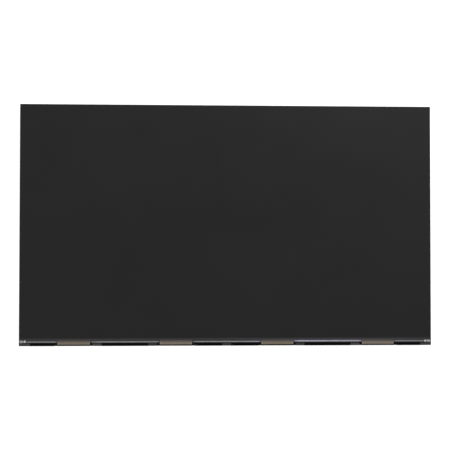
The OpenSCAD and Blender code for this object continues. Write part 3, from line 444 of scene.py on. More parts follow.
def fired(name, colour):
    """Fired ceramic or ferrite: matt to satin."""
    return grained(name, tone(colour, 0.8), tone(colour, 1.15), 0.5, 0.15 * MM, 0.01 * MM)


def uneven_gloss(name, colour, size, smoothest, roughest, metallic=0.0):
    """A smooth dark surface whose gloss wanders: polarizing film, or the back of a bare chip."""
    material, tree = new_material(name, colour, smoothest, metallic)
    return dress(material, {"Roughness": spread(tree, noise(tree, size), 0.3, 0.7, smoothest, roughest)})


def antiglare_film():
    """Matt film: nearly black, with a fine grain that spreads reflections, and greyer over the margin below the
    picture, towards the right."""
    face = finish().face
    material, tree = new_material("antiglare film", face, 0.42)
    slow = noise(tree, 180 * MM, detail=2.0)
    colour = shade(tree, slow, 0.35, 0.65, tone(face, 0.85), tone(face, 1.2))
    low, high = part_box("front_polarizer")
    wide_top = low.y + 2.7 * MM
    line_top, line_full = low.y + 0.9 * MM, low.y + 0.7 * MM
    along, across = axis_value(tree, "X"), axis_value(tree, "Y")
    wide = times(
        tree, spread(tree, across, wide_top, low.y, smooth=True),
        spread(tree, along, 0.35 * low.x, 0.15 * high.x, 0.5, 1.0),
    )
    line = times(
        tree, spread(tree, across, line_top, line_full),
        spread(tree, along, 0.85 * low.x, 0.75 * low.x, 0.5, 0.82),
    )
    margin = calculate(tree, "MAXIMUM", wide, line)
    haze = noise(tree, 60 * MM, detail=4.0, turn=0.4)
    return dress(material, {
        "Base Color": blend_colours(tree, margin, colour, finish().face_foot),
        "Roughness": spread(tree, haze, 0.3, 0.7, 0.40, 0.46),
        "Specular IOR Level": 0.34,
    }, noise(tree, 0.12 * MM, detail=2.0), 0.004 * MM, 0.6)


def shine_share(tree, most):
    """How much painted violet reflection the thin metal layers get: the most in the stretch right of the
    middle, then none.
    """
    stretch_middle = 135 * MM
    stretch_reach = 125 * MM
    full_reach = 0.3 * stretch_reach
    distance = calculate(tree, "ABSOLUTE", minus(tree, axis_value(tree, "X"), stretch_middle))
    return spread(tree, distance, full_reach, stretch_reach, most, 0.0, smooth=True)


def ledge_glass():
    """Array glass: fine fans of metal lines over dark glass, with a painted violet reflection towards one side,
    and nearly black along its outer edge, where the lines end."""
    ledge = finish().ledge
    material, tree = new_material("ledge glass", ledge, 0.2)
    # Painted reflection: violet sheen of the metal layers, strongest right of the middle
    tinted = blend_colours(tree, shine_share(tree, 0.4), ledge, finish().ledge_reflection_tint)
    lines = spread(tree, noise(tree, 0.25 * MM, detail=1.0, stretch=(1.0, 0.05, 1.0)), 0.4, 0.6)
    striped = blend_colours(tree, times(tree, lines, 0.25), tinted, (0.09, 0.09, 0.1))
    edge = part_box("array_glass")[0].y
    lines_end, lines_full = edge + 0.8 * MM, edge + 1.5 * MM
    colour = shade(tree, axis_value(tree, "Y"), lines_end, lines_full, tone(ledge, 0.3), striped)
    return dress(material, {"Base Color": colour, "Specular IOR Level": 0.35})


def filter_glass():
    """Colour filter glass: black matrix behind clear glass, seen only at its edges."""
    margin = finish().margin
    material, tree = new_material("filter glass", margin, 0.12)
    colour = shade(tree, noise(tree, 9 * MM, detail=2.0), 0.35, 0.65, tone(margin, 0.8), tone(margin, 1.25))
    return dress(material, {"Base Color": colour})


def sealant_finish():
    """Clear sealant over bright metal lines: pale grey, partly painted highlight, with the ledge's painted
    violet reflection, glossy and uneven. The painted highlight is darker towards both ends and paler in the
    corners."""
    sealant = finish().sealant
    material, tree = new_material("clear sealant", sealant, 0.18)
    tinted = blend_colours(tree, shine_share(tree, 1.0), sealant, finish().sealant_reflection_tint)
    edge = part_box("front_polarizer")[1].x
    dim_start, dim_full = 0.76 * edge, 0.8 * edge
    corner_start, corner_full = edge - 13 * MM, edge - 7 * MM
    outwards = calculate(tree, "ABSOLUTE", axis_value(tree, "X"))
    # Painted highlight: darker towards both ends, paler in the corners
    darker_ends = shade(tree, outwards, dim_start, dim_full, tinted, tone(sealant, 0.78))
    pale = shade(tree, outwards, corner_start, corner_full, darker_ends, tone(sealant, 1.45))
    patches = spread(tree, noise(tree, 22 * MM, detail=2.0), 0.35, 0.65)
    mottled = blend_colours(tree, times(tree, patches, 0.3), pale, tone(sealant, 0.6))
    return dress(material, {"Base Color": mottled}, noise(tree, 0.8 * MM), 0.02 * MM, 0.5)


def drive_film_finish(name, bare):
    """Drive film: tan polyimide with fine copper lines, darker where it is bonded over the glass, near black
    where olive resist and painted shade cover the fold, and paler along both ends, where a broad copper line
    runs.

    The distance from a film's middle is the pitch times |fraction of (X / pitch) - 1/2|, because the middles of
    the four films lie half a pitch and one and a half from the panel's middle."""
    material, tree = new_material(name, bare, 0.4)
    copper = tone(bare, 1.35)
    bonded_tan = finish().film_bonded
    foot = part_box("rim_tapes")[0].y
    bond_start, bond_full = foot + 4.6 * MM, foot + 5.8 * MM
    fold_start, fold_full = foot + 2.1 * MM, foot + 1.7 * MM
    frame_foot, glass_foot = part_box("middle_frame")[0].z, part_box("array_glass")[0].z
    low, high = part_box("drive_film_3")
    pitch = low.x + high.x
    half_width = (high.x - low.x) / 2
    end_start, end_full = half_width - 2.0 * MM, half_width - 1.4 * MM
    phase = calculate(tree, "FRACT", calculate(tree, "DIVIDE", axis_value(tree, "X"), pitch))
    from_middle = times(tree, calculate(tree, "ABSOLUTE", minus(tree, phase, 0.5)), pitch)
    along, up = axis_value(tree, "Y"), axis_value(tree, "Z")
    at_ends = times(tree, spread(tree, from_middle, end_start, end_full), 0.8)
    edged = blend_colours(tree, at_ends, bare, copper)
    above = calculate(tree, "GREATER_THAN", up, glass_foot)
    bonded = times(tree, spread(tree, along, bond_start, bond_full, smooth=True), above)
    body = blend_colours(tree, bonded, edged, bonded_tan)
    wave = fine_lines(tree, 0.24 * MM, "X", waver=0.6, detail=1.0)
    lined = blend_colours(tree, times(tree, spread(tree, wave, 0.35, 0.65), 0.3), body, copper)
    # Olive resist with painted shade: the band over the fold, which turns away from the light, is near black
    resist = times(tree, spread(tree, along, fold_start, fold_full), spread(tree, up, frame_foot, glass_foot))
    folded = blend_colours(tree, resist, lined, finish().fold_resist_and_shade)
    clouds = times(tree, spread(tree, noise(tree, 6 * MM), 0.3, 0.7), 0.15)
    clouded = blend_colours(tree, clouds, folded, tone(bonded_tan, 0.8))
    return dress(material, {"Base Color": clouded, "Specular IOR Level": 0.22}, wave, 0.006 * MM, 0.7)


def black_foam():
    """Closed-cell foam tape."""
    material, tree = new_material("black foam", (0.012, 0.012, 0.012), 0.85)
    pores = cells(tree, 0.15 * MM)
    colour = shade(tree, pores, 0.1, 0.7, (0.006, 0.006, 0.006), (0.018, 0.018, 0.018))
    return dress(material, {"Base Color": colour}, pores, 0.05 * MM)


def black_tape():
    """Thin black tape: satin, with soft lengthwise ripples and a trace of dust."""
    tape = finish().tape
    material, tree = new_material("black tape", tape, 0.48)
    dust = times(tree, spread(tree, noise(tree, 0.4 * MM, detail=5.0), 0.62, 0.75), 0.12)
    dusty = blend_colours(tree, dust, tape, (0.02, 0.02, 0.02))
    return dress(
        material, {"Base Color": dusty, "Specular IOR Level": 0.06},
        noise(tree, 2.2 * MM, detail=2.0, stretch=(0.25, 1.0, 1.0)), 0.03 * MM, 0.5,
    )


def moulded_frame():
    """Moulded frame: dark grey plastic with a fine spark-eroded grain and slow flow marks, and a painted
    highlight:
    paler in a short band near its lower edge at both sides, where light catches it."""
    grey = finish().frame
    material, tree = new_material("moulded frame", grey, 0.52)
    flow = noise(tree, 7 * MM, stretch=(0.3, 1.0, 1.0))
    colour = shade(tree, flow, 0.3, 0.7, tone(grey, 0.8), tone(grey, 1.35))
    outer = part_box("middle_frame")[0].y
    across, outwards = axis_value(tree, "Y"), calculate(tree, "ABSOLUTE", axis_value(tree, "X"))
    # Painted highlight: a band near the lower edge at both sides, paler where light catches the frame
    highlight_band = 1.0
    for value, none, full in (
        (across, outer + 0.8 * MM, outer + 1.0 * MM), (across, outer + 2.9 * MM, outer + 2.5 * MM),
        (outwards, 130 * MM, 135 * MM), (outwards, 205 * MM, 200 * MM),
    ):
        highlight_band = times(tree, spread(tree, value, none, full), highlight_band)
    return dress(
        material, {"Base Color": blend_colours(tree, highlight_band, colour, tone(grey, finish().painted_highlight_gain))},
        noise(tree, 0.12 * MM), 0.012 * MM,
    )


def optical_film(name, colour, roughness, line_radian):
    """Translucent optical film: pale, faintly ribbed, and letting some light through."""
    material, tree = new_material(name, colour, roughness)
    cloudy = shade(tree, noise(tree, 50 * MM), 0.3, 0.7, tone(colour, 0.94), colour)
    return dress(
        material, {"Base Color": cloudy, "Transmission Weight": 0.25},
        fine_lines(tree, line_radian, "Y"), 0.01 * MM, 0.5,
    )


def clear_acrylic():
    """Light guide: clear acrylic with scattered fine dots."""
    clear = (0.8, 0.9, 0.88)
    material, tree = new_material("clear acrylic", clear, 0.06)
    dots = times(tree, spread(tree, cells(tree, 0.9 * MM), 0.18, 0.24, 1.0, 0.0), 0.6)
    dotted = blend_colours(tree, dots, clear, (0.95, 0.96, 0.95))
    return dress(material, {"Base Color": dotted, "Transmission Weight": 0.7, "IOR": 1.49})


def moulded_pale(name, colour):
    """Ivory polymer of a socket: satin, slightly translucent at its thin walls."""
    material, tree = new_material(name, colour, 0.38)
    flow = shade(tree, noise(tree, 3 * MM), 0.3, 0.7, tone(colour, 0.92), colour)
    return dress(
        material, {"Base Color": flow, "Subsurface Weight": 0.05, "Subsurface Scale": 0.4 * MM},
        noise(tree, 0.1 * MM), 0.006 * MM,
    )


def bright_metal(name, colour, roughness, grain, stretch=EVEN):
    """Bare or plated metal with fine streaks and a slightly uneven gloss."""
    material, tree = new_material(name, colour, roughness, metallic=1.0)
    streaks = noise(tree, grain, detail=4.0, stretch=stretch)
    return dress(material, {
        "Base Color": shade(tree, streaks, 0.25, 0.75, tone(colour, 0.88), tone(colour, 1.06)),
        "Roughness": spread(tree, streaks, 0.3, 0.7, roughness - 0.06, roughness + 0.08),
    }, streaks, 0.004 * MM, 0.6)


def zinc_sheet():
    """Zinc-coated sheet: faint spangle, rolling streaks along X, and slow cloudy patches of duller zinc."""
    steel = finish().steel
    material, tree = new_material("zinc sheet", steel, 0.36, metallic=1.0)
    grains = cells(tree, 2.6 * MM, output="Color")
    spangle = add_node(tree, "ShaderNodeRGBToBW", {"Color": grains}).outputs["Val"]
    rolling = noise(tree, 0.6 * MM, detail=5.0, stretch=(0.02, 1.0, 1.0))
    patches = spread(tree, noise(tree, 70 * MM, detail=4.0), 0.35, 0.65)
    base = blend_colours(tree, spangle, tone(steel, 0.93), tone(steel, 1.04))
    streaks = times(tree, spread(tree, rolling, 0.4, 0.7), 0.35)
    streaked = blend_colours(tree, streaks, base, tone(steel, 0.8))
    dulled = blend_colours(tree, times(tree, patches, 0.3), streaked, tone(steel, 0.86))
    rolled_gloss = spread(tree, rolling, 0.3, 0.7, 0.30, 0.38)
    dullness = times(tree, calculate(tree, "ADD", spangle, patches), 0.05)
    return dress(
        material, {"Base Color": dulled, "Roughness": calculate(tree, "ADD", rolled_gloss, dullness)},
        rolling, 0.006 * MM, 0.6,
    )


def circuit_laminate():
    """Circuit board: green resist over copper areas and tracks, which show as paler green."""
    board = finish().board
    material, tree = new_material("circuit laminate", board, 0.3)
    pour = copper_areas(tree, 6 * MM)
    gaps = track_gaps(tree, 0.07, 3.1)
    holes = times(tree, spread(tree, cells(tree, 2.3 * MM), 0.10, 0.13, 1.0, 0.0), 0.7)
    laminate = blend_colours(tree, pour, tone(board, 0.55), board)
    tracked = blend_colours(tree, gaps, laminate, tone(board, 0.6))
    with_holes = blend_colours(tree, holes, tracked, (0.16, 0.2, 0.1))
    return dress(
        material, {"Base Color": with_holes, "Coat Weight": 0.3, "Coat Roughness": 0.15},
        minus(tree, pour, times(tree, gaps, 0.6)), 0.03 * MM,
    )


def diode_package():
    """Diode package: white resin, with yellow phosphor on the side that faces the light guide."""
    resin = (0.85, 0.85, 0.82)
    material, tree = new_material("diode package", resin, 0.4)
    phosphor_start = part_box("led_packages")[1].y - 0.35 * MM
    behind = calculate(tree, "LESS_THAN", axis_value(tree, "Y"), phosphor_start)
    phosphor = times(tree, minus(tree, 1.0, behind), 0.6)
    yellow = blend_colours(tree, noise(tree, 0.1 * MM), (0.8, 0.62, 0.12), (0.88, 0.74, 0.2))
    return dress(material, {"Base Color": blend_colours(tree, phosphor, resin, yellow)})


def board_film():
    """Black insulating film: satin, with faint creases."""
    material, tree = new_material("board film", (0.009, 0.009, 0.01), 0.34)
    creases = noise(tree, 5 * MM, stretch=(0.4, 1.0, 1.0))
    return dress(material, {"Roughness": spread(tree, creases, 0.3, 0.7, 0.28, 0.42)}, creases, 0.05 * MM, 0.6)


def white_flex():
    """Flexible strip: white resist over straight copper tracks."""
    white = (0.8, 0.8, 0.76)
    material, tree = new_material("white flex", white, 0.35)
    gaps = track_gaps(tree, 0.05, 17.0)
    return dress(
        material, {"Base Color": blend_colours(tree, gaps, white, (0.66, 0.64, 0.56))},
        minus(tree, 1.0, gaps), 0.02 * MM, 0.7,
    )


def set_finishes(finishes):
    """Gives each carried-over node its material."""
    for node, material in finishes.items():
        slots = NODES[node].data.materials
        slots.clear()
        slots.append(material)


# Operators, one for each group of pieces


class LCD_OT_cell(bpy.types.Operator):
    """Finish the polarizers and the two sheets of glass"""

    bl_idname = "lcd.cell"
    bl_label = "Glass Cell"

    def execute(self, context):
        set_finishes({
            "front_polarizer": antiglare_film(),
            "color_filter_glass": filter_glass(),
            "array_glass": ledge_glass(),
            "rear_polarizer": uneven_gloss("polarizing film", (0.006, 0.006, 0.009), 40 * MM, 0.12, 0.2),
        })
        return {"FINISHED"}


class LCD_OT_sealant(bpy.types.Operator):
    """Lay the beads of clear sealant on the ledge"""

    bl_idname = "lcd.sealant"
    bl_label = "Ledge Sealant"

    def execute(self, context):
        """Each bead is a dome carried along X: across it, angle t from 0 to pi gives the place
        (half width times cos t, height times (sin t)^0.6), and both narrow to nothing at the ends as
        (1 - s^12)^(1/2), where s runs from -1 to 1. A long and a short sine wave move its edges."""
        stations = 90
        section = 14
        waver = details().bead_waver
        long_wave, short_wave = 2.3 * MM, 0.9 * MM
        s = np.sin(np.linspace(-math.pi / 2, math.pi / 2, stations))[:, None]
        t = np.linspace(0, math.pi, section)[None, :]
        copies = []
        for low, high in node_boxes("ledge_sealant"):
            middle = (low + high) / 2
            half = (high - low) / 2
            x = middle[0] + s * half[0]
            narrowing = np.sqrt(np.clip(1 - s ** 12, 0, 1))
            wander = np.sin(x / long_wave) * 0.6 + np.sin(x / short_wave + 1.3) * 0.4
            across = (half[1] - waver * (0.5 + 0.5 * wander)) * narrowing
            top = low[2] + (high[2] - low[2]) * np.sin(t) ** 0.6 * narrowing
            copies.append(xyz(x, middle[1] + across * np.cos(t), top))
        mesh = grid_mesh("sealant_beads", np.stack(copies))
        add_piece("sealant_beads", mesh, sealant_finish(), ("ledge_sealant",))
        return {"FINISHED"}


class LCD_OT_silver_dots(bpy.types.Operator):
    """Form the two silver paste dots"""

    bl_idname = "lcd.silver_dots"
    bl_label = "Silver Dots"

    def execute(self, context):
        """A dot is a dome: at share r from 0 to 1 of the rim's radius its height is (1 - r^2.4) of the top,
        and the rim's radius wanders with the angle as a sum of three sines. A last row closes it below."""
        rows = 14
        columns = 48
        wave_span = 1.6
        share = np.linspace(0, 1, rows)[:, None]
        angle = np.linspace(0, math.tau, columns, endpoint=False)[None, :]
        copies = []
        for index, (low, high) in enumerate(node_boxes("ground_dots")):
            middle = (low + high) / 2
            radius = (high[0] - low[0]) / 2
            height = high[2] - low[2]
            shift = 1.7 * index
            waves = 0.5 * np.sin(2 * angle + shift) + 0.3 * np.sin(3 * angle + 2 * shift)
            waves += 0.2 * np.sin(7 * angle)
            rim = radius * (1 - details().paste_waver * (1 + waves) / wave_span)
            x = middle[0] + share * rim * np.cos(angle)
            y = middle[1] + share * rim * np.sin(angle)
            z = low[2] + height * (1 - share ** 2.4)
            foot = xyz(middle[0], middle[1], low[2] + 0 * angle)
            copies.append(np.concatenate([xyz(x, y, z), foot]))
        mesh = grid_mesh("silver_dots", np.stack(copies))
        paste = grained(
            "silver paste", (0.46, 0.46, 0.45), (0.72, 0.72, 0.71), 0.45, 0.1 * MM, 0.03 * MM,
            metallic=0.6,
        )
        add_piece("silver_dots", mesh, paste, ("ground_dots",))
        return {"FINISHED"}


class LCD_OT_drive_films(bpy.types.Operator):
    """Finish the drive films and their chips"""

    bl_idname = "lcd.drive_films"
    bl_label = "Drive Films"

    def execute(self, context):
        films = (
            drive_film_finish("rosy drive film", finish().film_rosy),
            drive_film_finish("drive film", finish().film_bare),
        )
        silicon = uneven_gloss("chip silicon", (0.05, 0.05, 0.056), 2 * MM, 0.12, 0.26, metallic=0.35)
        for number in range(1, 5):
            set_finishes({f"drive_film_{number}": films[number % 2], f"driver_chip_{number}": silicon})
        return {"FINISHED"}


class LCD_OT_frame_and_tapes(bpy.types.Operator):
    """Finish the moulded frame, the foam under the cell and the black tapes"""

    bl_idname = "lcd.frame_and_tapes"
    bl_label = "Frame and Tapes"

    def execute(self, context):
        tape = black_tape()
        tapes = ("rim_tapes", "edge_tape_left", "edge_tape_right", "edge_tape_top")
        set_finishes({
            "middle_frame": moulded_frame(), "cell_foam_tape": black_foam(), **dict.fromkeys(tapes, tape),
        })
        return {"FINISHED"}


class LCD_OT_backlight(bpy.types.Operator):
    """Finish the sheets, the light guide and the strip of diodes"""

    bl_idname = "lcd.backlight"
    bl_label = "Backlight"

    def execute(self, context):
        set_finishes({
            "recycling_film": optical_film("recycling film", (0.74, 0.76, 0.79), 0.2, 4 * MM),
            "prism_sheet": optical_film("prism sheet", (0.8, 0.81, 0.83), 0.28, 0.3 * MM),
            "diffuser_sheet": optical_film("diffuser sheet", (0.88, 0.88, 0.88), 0.6, 0.5 * MM),
            "light_guide": clear_acrylic(),
            "reflector_sheet": soft_pale("reflector sheet", (0.9, 0.9, 0.9), 0.6, 0.3 * MM),
            "guide_buffers": soft_pale("white silicone", (0.72, 0.72, 0.69), 0.7, 0.4 * MM),
            "thermal_tape": soft_pale("thermal tape", (0.42, 0.42, 0.47), 0.8, 0.2 * MM),
            "led_strip": white_flex(),
            "led_packages": diode_package(),
            "backlight_connector": moulded_pale("socket polymer", (0.8, 0.77, 0.68)),
            "backlight_pins": bright_metal("gilt pins", finish().brass, 0.2, 0.3 * MM),
        })
        return {"FINISHED"}


class LCD_OT_chassis(bpy.types.Operator):
    """Finish the pressed steel back and its standoffs, and cut their threads"""

    bl_idname = "lcd.chassis"
    bl_label = "Chassis"

    def execute(self, context):
        """The thread's ridge is a triangle carried along the helix (r cos a, r sin a, pitch times a over
        two pi), and it fades to nothing over the first and last half turn. Half its foot is a share of the
        pitch."""
        plated = bright_metal("plated standoff", (0.62, 0.63, 0.62), 0.28, 0.5 * MM)
        set_finishes({"rear_chassis": zinc_sheet(), "mounting_standoffs": plated})
        pitch = details().thread_pitch
        depth = details().thread_depth
        bore = frame["record"]["mounts"][0]["dims"]["hole_r_mm"] * MM
        start = 0.3 * MM
        turns = 5
        steps_per_turn = 28
        half_foot = 0.3
        angle = np.linspace(0, turns * math.tau, turns * steps_per_turn)[:, None]
        fade = np.clip(np.minimum(angle, angle[-1] - angle) / math.pi, 0, 1)
        inward = np.array([0.0, -1.0, 0.0])[None, :] * depth * fade
        rise = np.array([-half_foot, 0.0, half_foot])[None, :] * pitch * fade
        radius = bore + inward
        height = start + pitch * angle / math.tau + rise
        ridge = xyz(radius * np.cos(angle), radius * np.sin(angle), height)
        level = np.array([1.0, 1.0, 0.0])
        middles = [(low + high) / 2 * level for low, high in node_boxes("mounting_standoffs")]
        mesh = grid_mesh("standoff_threads", ridge[None] + np.array(middles)[:, None, None, :])
        add_piece("standoff_threads", mesh, plated)
        return {"FINISHED"}


class LCD_OT_board(bpy.types.Operator):
    """Finish the drive board and add the ends of its capacitors and its test pads"""

    bl_idname = "lcd.board"
    bl_label = "Drive Board"

    def execute(self, context):
        epoxy = grained(
            "chip epoxy", (0.014, 0.014, 0.015), (0.05, 0.05, 0.05), 0.55, 0.08 * MM, 0.01 * MM,
            reach=(0.55, 0.75),
        )
        set_finishes({
            "drive_board": circuit_laminate(),
            "insulation_sheet": board_film(),
            "timing_chip": epoxy,
            "power_chips": epoxy,
            "power_inductors": fired("ferrite", (0.07, 0.07, 0.075)),
            "board_capacitors": fired("capacitor ceramic", (0.38, 0.26, 0.16)),
        })
        solder = bright_metal("solder", (0.66, 0.66, 0.65), 0.24, 0.3 * MM)
        self.capacitor_ends(solder)
        self.test_pads(solder)
        return {"FINISHED"}

    def capacitor_ends(self, solder):
        """Two rounded lumps of solder per capacitor, at the ends of its longer side."""
        overlap = 0.03 * MM
        end_depth = 0.38 * MM
        centres = []
        halves = []
        for low, high in node_boxes("board_capacitors"):
            size = high - low
            long_axis = 0 if size[0] > size[1] else 1
            half = size / 2 + overlap
            half[long_axis] = end_depth / 2
            half[2] = size[2] / 2
            for side in (-1, 1):
                centre = (low + high) / 2
                centre[long_axis] += side * (size[long_axis] / 2 - end_depth / 2 + overlap)
                centre[2] -= overlap
                centres.append(centre)
                halves.append(half)
        mesh = rounded_lumps("capacitor_ends", centres, halves, squareness=0.25)
        add_piece("capacitor_ends", mesh, solder)

    def test_pads(self, solder):
        """Flat round lumps in a row along each arm of the board, left out near what stands on it."""
        low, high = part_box("drive_board")
        radius = details().pad_radius
        gap = radius + 1.4 * MM
        row = low.y + 10.1 * MM
        first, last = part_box("board_shield")[1].x + 6 * MM, high.x - 12 * MM
        x = np.linspace(first, last, details().pad_count)
        x = np.concatenate([-x[::-1], x])
        clear = np.ones(len(x), dtype=bool)
        for node in ("earth_foils", "power_chips", "board_capacitors", "board_screws"):
            for near, far in node_boxes(node):
                beside = (x < near[0] - gap) | (x > far[0] + gap)
                clear &= beside | (row < near[1] - gap) | (row > far[1] + gap)
        proud = 0.03 * MM
        centres = xyz(x[clear], row, low.z)
        halves = [[radius, radius, proud]]
        mesh = rounded_lumps("test_pads", centres, halves, squareness=1.0, rows=7, columns=20)
        add_piece("test_pads", mesh, solder)


class LCD_OT_chip_leads(bpy.types.Operator):
    """Add the leads of the chips on the board's arms"""

    bl_idname = "lcd.chip_leads"
    bl_label = "Chip Leads"

    def execute(self, context):
        """A lead is a flat strip along a path that leaves the package level, bends down to the board and
        ends in a level foot: height = drop times the smooth step 3u^2 - 2u^3 of the way out."""
        reach = 1.0 * MM
        foot = 0.35 * MM
        pitch = details().lead_pitch
        width = details().lead_width
        thickness = 0.12 * MM
        board_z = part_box("drive_board")[0].z
        stations = 9
        u = np.linspace(0, 1, stations)
        copies = []
        for low, high in node_boxes("power_chips"):
            size = high - low
            if size[0] < 2 * size[1]:
                continue
            middle = (low + high) / 2
            count = int((size[0] - pitch) / pitch)
            x = (np.arange(count) - (count - 1) / 2) * pitch
            drop = board_z - thickness / 2 - middle[2]
            for side in (-1, 1):
                out = np.concatenate([u * (reach - foot), [reach]])
                rise = np.concatenate([drop * (3 * u ** 2 - 2 * u ** 3), [drop]])
                path = xyz(0.0, side * out, rise)
                edge = high[1] if side > 0 else low[1]
                offsets = xyz(middle[0] + x, edge, middle[2])
                copies.append(ribbon_copies(path, (1.0, 0.0, 0.0), width, thickness, offsets))
        mesh = grid_mesh("chip_leads", np.concatenate(copies))
        tinned = bright_metal("tinned lead", (0.68, 0.68, 0.67), 0.26, 0.3 * MM)
        add_piece("chip_leads", mesh, tinned)
        return {"FINISHED"}


class LCD_OT_connector_and_shield(bpy.types.Operator):
    """Finish the signal connector, the shield, the screws and the foils"""

    bl_idname = "lcd.connector_and_shield"
    bl_label = "Connector and Shield"

    def execute(self, context):
        tin = bright_metal("tinplate", (0.6, 0.61, 0.62), 0.26, 1.2 * MM, (0.1, 1.0, 1.0))
        zinc = bright_metal("zinc screw", (0.6, 0.62, 0.66), 0.3, 0.4 * MM)
        set_finishes({
            "signal_connector": moulded_pale("connector polymer", (0.78, 0.75, 0.66)),
            "signal_contacts": bright_metal("gilt contacts", finish().brass, 0.2, 0.3 * MM),
            "signal_shell": tin,
            "board_shield": tin,
            "board_screws": zinc,
            "shield_screws": zinc,
            "thermal_pad": soft_pale("gap filler", (0.32, 0.4, 0.52), 0.75, 0.3 * MM),
            "earth_foils": bright_metal("conductive foil", (0.66, 0.64, 0.6), 0.34, 0.8 * MM, (1.0, 0.2, 1.0)),
        })
        return {"FINISHED"}


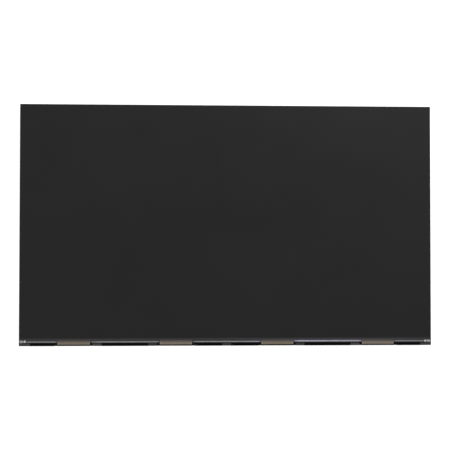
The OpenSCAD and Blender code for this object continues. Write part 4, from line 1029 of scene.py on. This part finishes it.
class LCD_OT_stage(bpy.types.Operator):
    """Set up the floor, the lamps and the camera"""

    bl_idname = "lcd.stage"
    bl_label = "Stage"

    def execute(self, context):
        self.floor()
        self.sky(context.scene)
        stage = stage_settings()
        self.lamp("key_lamp", stage.key_place, stage.key_power)
        self.lamp("fill_lamp", stage.fill_place, stage.fill_power)
        self.camera(context.scene)
        context.scene.view_settings.view_transform = "Standard"
        return {"FINISHED"}

    def floor(self):
        """A level square that is white to the camera and in reflections, keeps the panel's shadow and lights
        what faces it. It is clear from below and to what lies just above it."""
        stage = stage_settings()
        half = stage.floor_side / 2
        ends = np.array([-half, half])
        mesh = grid_mesh("floor", xyz(ends[None, :], ends[:, None], 0.0)[None], wrap_columns=False)
        if mesh.polygons[0].normal.z < 0:
            mesh.flip_normals()
        floor = bpy.data.objects.new("floor", mesh)
        bpy.context.scene.collection.objects.link(floor)
        material = bpy.data.materials.new("pale floor")
        material.use_nodes = True
        tree = material.node_tree
        tree.nodes.clear()
        path = add_node(tree, "ShaderNodeLightPath", {}).outputs
        seen = calculate(tree, "MAXIMUM", path["Is Camera Ray"], path["Is Glossy Ray"])
        seen = calculate(tree, "MAXIMUM", seen, path["Is Transmission Ray"])
        strength = spread(tree, seen, 0.0, 1.0, stage.floor_bounce, stage.floor_glow)
        glow = add_node(tree, "ShaderNodeEmission", {"Strength": strength}).outputs[0]
        paper = add_node(tree, "ShaderNodeBsdfDiffuse", {"Color": (0.8, 0.8, 0.8)}).outputs[0]
        pale = add_node(tree, "ShaderNodeAddShader", {0: glow, 1: paper}).outputs[0]
        clear = add_node(tree, "ShaderNodeBsdfTransparent", {}).outputs[0]
        short = calculate(tree, "LESS_THAN", path["Ray Length"], stage.clear_reach)
        from_panel = calculate(tree, "GREATER_THAN", short, path["Is Camera Ray"])
        from_below = add_node(tree, "ShaderNodeNewGeometry", {}).outputs["Backfacing"]
        see_through = calculate(tree, "MAXIMUM", from_below, from_panel)
        choice = add_node(tree, "ShaderNodeMixShader", {0: see_through, 1: pale, 2: clear}).outputs[0]
        add_node(tree, "ShaderNodeOutputMaterial", {"Surface": choice})
        mesh.materials.append(material)

    def sky(self, scene):
        """Even light from above and all round, which the camera sees as white. Below the floor it goes from
        dim straight down to bright at one side."""
        world = bpy.data.worlds.new("sky")
        world.use_nodes = True
        tree = world.node_tree
        stage = stage_settings()
        seen = add_node(tree, "ShaderNodeLightPath", {}).outputs["Is Camera Ray"]
        direction = add_node(tree, "ShaderNodeTexCoord", {}).outputs["Generated"]
        axes = add_node(tree, "ShaderNodeSeparateXYZ", {"Vector": direction}).outputs
        sideways = minus(tree, axes["X"], axes["Y"])
        dim_until, bright_from = -0.4, 0.9
        low_sky = spread(
            tree, sideways, dim_until, bright_from, stage.low_sky_down, stage.low_sky_side, smooth=True
        )
        below = calculate(tree, "LESS_THAN", axes["Z"], 0.0)
        gain = times(tree, below, minus(tree, low_sky, stage.sky))
        light = calculate(tree, "ADD", gain, stage.sky)
        unseen = times(tree, minus(tree, 1.0, seen), light)
        strength = calculate(tree, "ADD", unseen, seen)
        set_inputs(tree.nodes["Background"], {"Color": (1.0, 1.0, 1.0), "Strength": strength})
        scene.world = world

    def lamp(self, name, place, power):
        """A square lamp that faces the middle of the panel."""
        light = bpy.data.lights.new(name, "AREA")
        light.size = stage_settings().lamp_side
        light.energy = power
        lamp = bpy.data.objects.new(name, light)
        lamp.location = place
        direction = -lamp.location.normalized()
        lamp.rotation_euler = direction.to_track_quat("-Z", "Y").to_euler()
        bpy.context.scene.collection.objects.link(lamp)

    def camera(self, scene):
        """The camera of the photograph, above the panel and looking nearly straight down."""
        stage = stage_settings()
        camera = bpy.data.cameras.new("camera")
        camera.lens = stage.lens
        camera.sensor_width = 36.0
        camera.clip_end = 100.0
        view = bpy.data.objects.new("camera", camera)
        view.location = stage.camera_place
        view.rotation_euler = stage.camera_turn
        scene.collection.objects.link(view)
        scene.camera = view


STEPS = (
    LCD_OT_cell,
    LCD_OT_sealant,
    LCD_OT_silver_dots,
    LCD_OT_drive_films,
    LCD_OT_frame_and_tapes,
    LCD_OT_backlight,
    LCD_OT_chassis,
    LCD_OT_board,
    LCD_OT_chip_leads,
    LCD_OT_connector_and_shield,
    LCD_OT_stage,
)


class LCD_PT_tools(bpy.types.Panel):
    """Lists the steps that finish the panel"""

    bl_label = "LCD Panel"
    bl_idname = "LCD_PT_tools"
    bl_space_type = "VIEW_3D"
    bl_region_type = "UI"
    bl_category = "LCD Panel"

    def draw(self, context):
        layout = self.layout
        for step in STEPS:
            layout.operator(step.bl_idname)
        for group in (finish(), details(), stage_settings()):
            box = layout.box()
            for name in group.__annotations__:
                box.prop(group, name)


GROUPS = {
    "lcd_panel_stage": StageSettings,
    "lcd_panel_finish": FinishSettings,
    "lcd_panel_details": DetailSettings,
}


register_classes, unregister_classes = bpy.utils.register_classes_factory(
    (*GROUPS.values(), *STEPS, LCD_PT_tools)
)


def register():
    register_classes()
    for name, group in GROUPS.items():
        setattr(bpy.types.Scene, name, PointerProperty(type=group))


def unregister():
    for name in GROUPS:
        delattr(bpy.types.Scene, name)
    unregister_classes()


def main():
    register()
    for step in STEPS:
        getattr(bpy.ops.lcd, step.bl_idname.split(".")[1])()
    bpy.context.view_layer.update()


if __name__ == "__main__":
    main()
